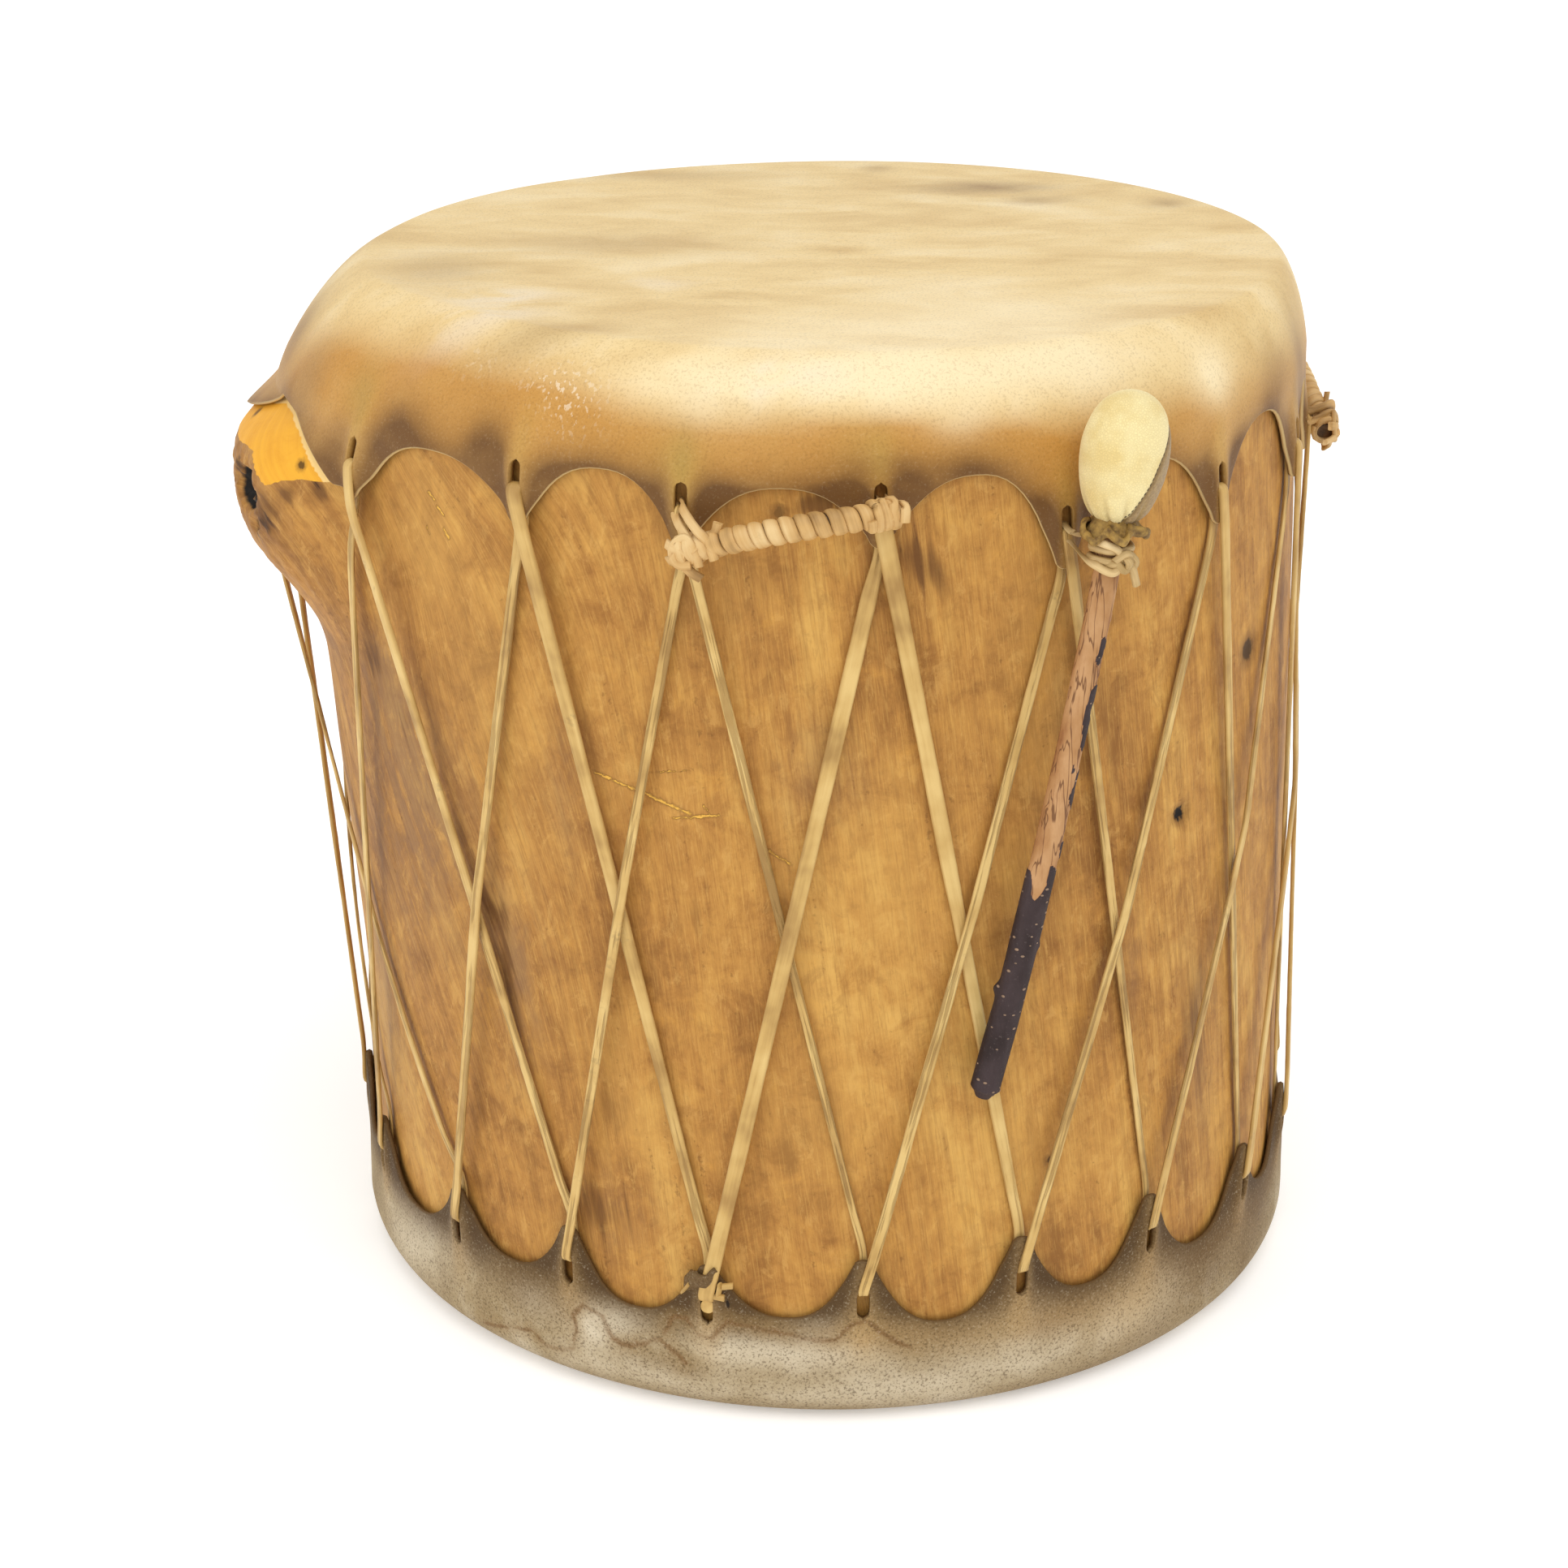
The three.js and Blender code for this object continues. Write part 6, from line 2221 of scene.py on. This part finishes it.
@dataclass
class Studio:
    """A pale floor, soft light and a camera at the photograph's angle."""

    eye: Triple = (-0.0216, -1.4588, 0.8013)
    pitch: float = 21.88
    lens: float = 73.98
    half: float = 6000.0
    sky: Colour = (1.0, 0.995, 0.985, 1.0)
    sky_strength: float = 0.88
    paper: str = "f4f3f1"
    paper_shade: str = "e8e6e2"

    def build(self) -> None:
        """Builds the floor, the lights and the camera."""
        scene = bpy.context.scene
        scene.view_settings.view_transform = "Standard"
        s = Skin("floor_paper")
        tint = s.noise(s.here(), 3.0, 2.0)
        paper = s.tint(srgb(self.paper), (tint * 0.1, self.paper_shade))
        ways = ((-1, -1), (1, -1), (1, 1), (-1, 1))
        corners = np.array([[x * self.half, y * self.half, -0.2] for x, y in ways])
        lit = {"Emission_Color": (1.0, 1.0, 1.0, 1.0), "Emission_Strength": 0.3}
        floor = make_piece("floor", corners, [(0, 1, 2, 3)], s.surface(paper, 0.9, **lit))
        world = bpy.data.worlds.new("soft_room")
        world.use_nodes = True
        sockets = world.node_tree.nodes["Background"].inputs
        sockets["Color"].default_value = self.sky
        sockets["Strength"].default_value = self.sky_strength
        scene.world = world
        self.lamp("key", (0.45, -1.25, 2.7), 2.0, 21.5)
        self.lamp("fill", (-2.0, -1.2, 1.2), 1.6, 8.0)
        camera = bpy.data.cameras.new("camera")
        camera.lens, camera.sensor_width = self.lens, 36.0
        holder = bpy.data.objects.new("camera", camera)
        holder.location = self.eye
        holder.rotation_euler = ((90 - self.pitch) * DEG, 0.0, 0.0)
        scene.collection.objects.link(holder)
        scene.camera = holder

    @staticmethod
    def lamp(name: str, place: Triple, size: float, watts: float) -> None:
        """Hangs a square soft light that looks at the drum."""
        light = bpy.data.lights.new(name, "AREA")
        light.size, light.energy = size, watts
        holder = bpy.data.objects.new(name, light)
        holder.location = place
        aim = Vector((0.0, 0.0, 0.25)) - Vector(place)
        holder.rotation_euler = aim.to_track_quat("-Z", "Y").to_euler()
        bpy.context.scene.collection.objects.link(holder)


def upper_head() -> RawhideHead:
    """The upper head, with its patches of colour."""
    shades = {
        "gold": patches(
            (-51, 454, 36, 15, 0.95), (-34, 455, 40, 14, 0.9), (-66, 454, 26, 13, 0.6),
            (-16, 447, 30, 10, 0.55), (0, 447, 34, 12, 0.85), (11, 444, 26, 11, 0.8),
            (20, 438, 24, 14, 0.5), (43, 440, 15, 12, 0.4),
        ),
        "dusk": patches(
            (-52, 434, 17, 13, 0.8), (-39, 434, 13, 16, 0.9), (-12, 423, 13, 7, 0.7),
            (1, 427, 12, 6, 1.0), (7, 431, 9, 6, 0.6), (23, 411, 12, 14, 0.35),
            (46, 415, 7, 18, 0.5), (52, 413, 7, 18, 0.6), (61, 440, 12, 22, 0.35),
            (-30, 418, 8, 11, 0.4), (-27, 427, 15, 9, 0.75), (5, 440, 20, 7, 0.45), (14, 437, 13, 7, 0.4),
        ),
        "smoke": patches(
            (72, 440, 18, 30, 0.8), (64, 446, 10, 12, 0.4),
            (-82, 448, 20, 22, 0.85), (-95, 458, 24, 24, 0.6), (-70, 440, 14, 20, 0.45),
            (150.7, 480, 30, 60, 0.95, 157, 13), (136, 480, 16, 60, 0.6, 149, 9),
            (121, 480, 9, 60, 0.6, 192, 11), (172, 480, 8, 60, 0.5, 187, 8),
            (-94, 480, 49, 60, 0.3, 99, 22), (-76, 480, 24, 60, 0.4, 181, 30),
            (-155, 480, 49, 60, 0.35, 185, 12), (-38, 480, 30, 60, 0.35, 196, 10),
        ),
        # The pale patches on the rounded edge at the front paint its highlight; the two with a reach, on the
        # top, are pale spots of the hide.
        "pale": patches(
            (-12, 470, 42, 8, 0.9), (5, 473, 46, 10, 1.0), (26, 472, 46, 12, 1.0),
            (48, 458, 14, 13, 0.9), (13, 455, 12, 7, 0.4), (-14, 460, 24, 8, 0.4),
            (32, 480, 61, 60, 0.5, 141, 31), (3, 480, 57, 60, 0.45, 148, 20),
        ),
        "haze": patches(
            (-56, 480, 22, 60, 0.9, 172, 16), (-49, 480, 24, 60, 0.8, 194, 12),
            (-47, 480, 12, 60, 0.9, 103, 8), (-7, 480, 24, 60, 0.7, 203, 8),
        ),
        "olive": patches((-60, 443, 10, 12, 0.6), (-17, 440, 14, 16, 0.5), (3, 446, 14, 11, 0.4)),
        "fleck": patches((-30, 458, 14, 13, 0.9), (-34, 464, 14, 7, 0.7), (-45, 465, 12, 6, 0.5)),
    }
    return RawhideHead(DrumEnd.UPPER, UPPER_TABS, 432.0, UPPER_RAWHIDE, shades, KnobArch())


def lower_head() -> RawhideHead:
    """The lower head, with its patches of colour."""
    shades = {
        "gold": patches(
            (10, 22, 60, 10, 0.2), (-20, 22, 30, 8, 0.25), (30, 44, 20, 10, 0.4),
            (48, 44, 34, 20, 0.85), (64, 46, 30, 24, 0.9), (-60, 50, 30, 14, 0.5),
            (38, 16, 40, 8, 0.3), (-38, 38, 14, 12, 0.45), (25, 37, 16, 8, 0.6),
        ),
        "smoke": patches(
            (0, 4, 260, 6, 0.3, 220), (-46, 50, 14, 14, 0.5), (62, 34, 26, 26, 0.5),
            (50, 28, 24, 12, 0.4),
        ),
        "pale": patches(
            (-5, 36, 40, 9, 0.9), (-28, 32, 12, 10, 0.9), (-36, 36, 14, 10, 0.3),
            (22, 24, 50, 12, 0.5), (-55, 40, 30, 20, 0.5), (-62, 24, 26, 16, 0.6),
            (40, 30, 20, 20, 0.4), (-25, 40, 15, 9, 0.7), (-1, 50, 13, 7, 0.5),
            (-22, 15, 44, 8, 0.45), (4, 16, 46, 9, 0.45),
        ),
        "olive": patches(
            (2, 47, 22, 10, 0.6), (10, 46, 22, 12, 0.75), (27, 40, 24, 12, 0.5),
            (37, 34, 26, 16, 0.6), (-9, 50, 16, 7, 0.5), (17, 40, 20, 10, 0.4),
        ),
        # Two holes beside the torn tab, painted as near-black spots of shade; the mesh is not cut there.
        "hole": patches((-16.9, 63, 1.6, 3.0), (-11.7, 58, 1.6, 3.0)),
    }
    return RawhideHead(
        DrumEnd.LOWER, LOWER_TABS, 50.0, LOWER_RAWHIDE, shades,
        deepen=(31.0, 59.0), skirt_rows=52, dusk_reach=9.5,
    )


def main() -> None:
    """Builds the drum piece by piece, then the stage."""
    logging.basicConfig(level=logging.INFO, format="%(name)s: %(message)s")
    LogShell().build()
    upper_head().build()
    lower_head().build()
    straps, windings = strap_tree(), winding_tree()
    Lacing().build(straps)
    Grip("front_grip_wrap", "front_grip", UPPER_TABS[3], UPPER_TABS[4]).build(straps, windings)
    rear = Grip("rear_grip_wrap", "rear_grip", UPPER_TABS[8], UPPER_TABS[9], bow=0.0, drop=6.0, tucked=4.6)
    rear.build(straps, windings)
    Beater().build(straps, windings)
    Studio().build()


if __name__ == "__main__":
    main()
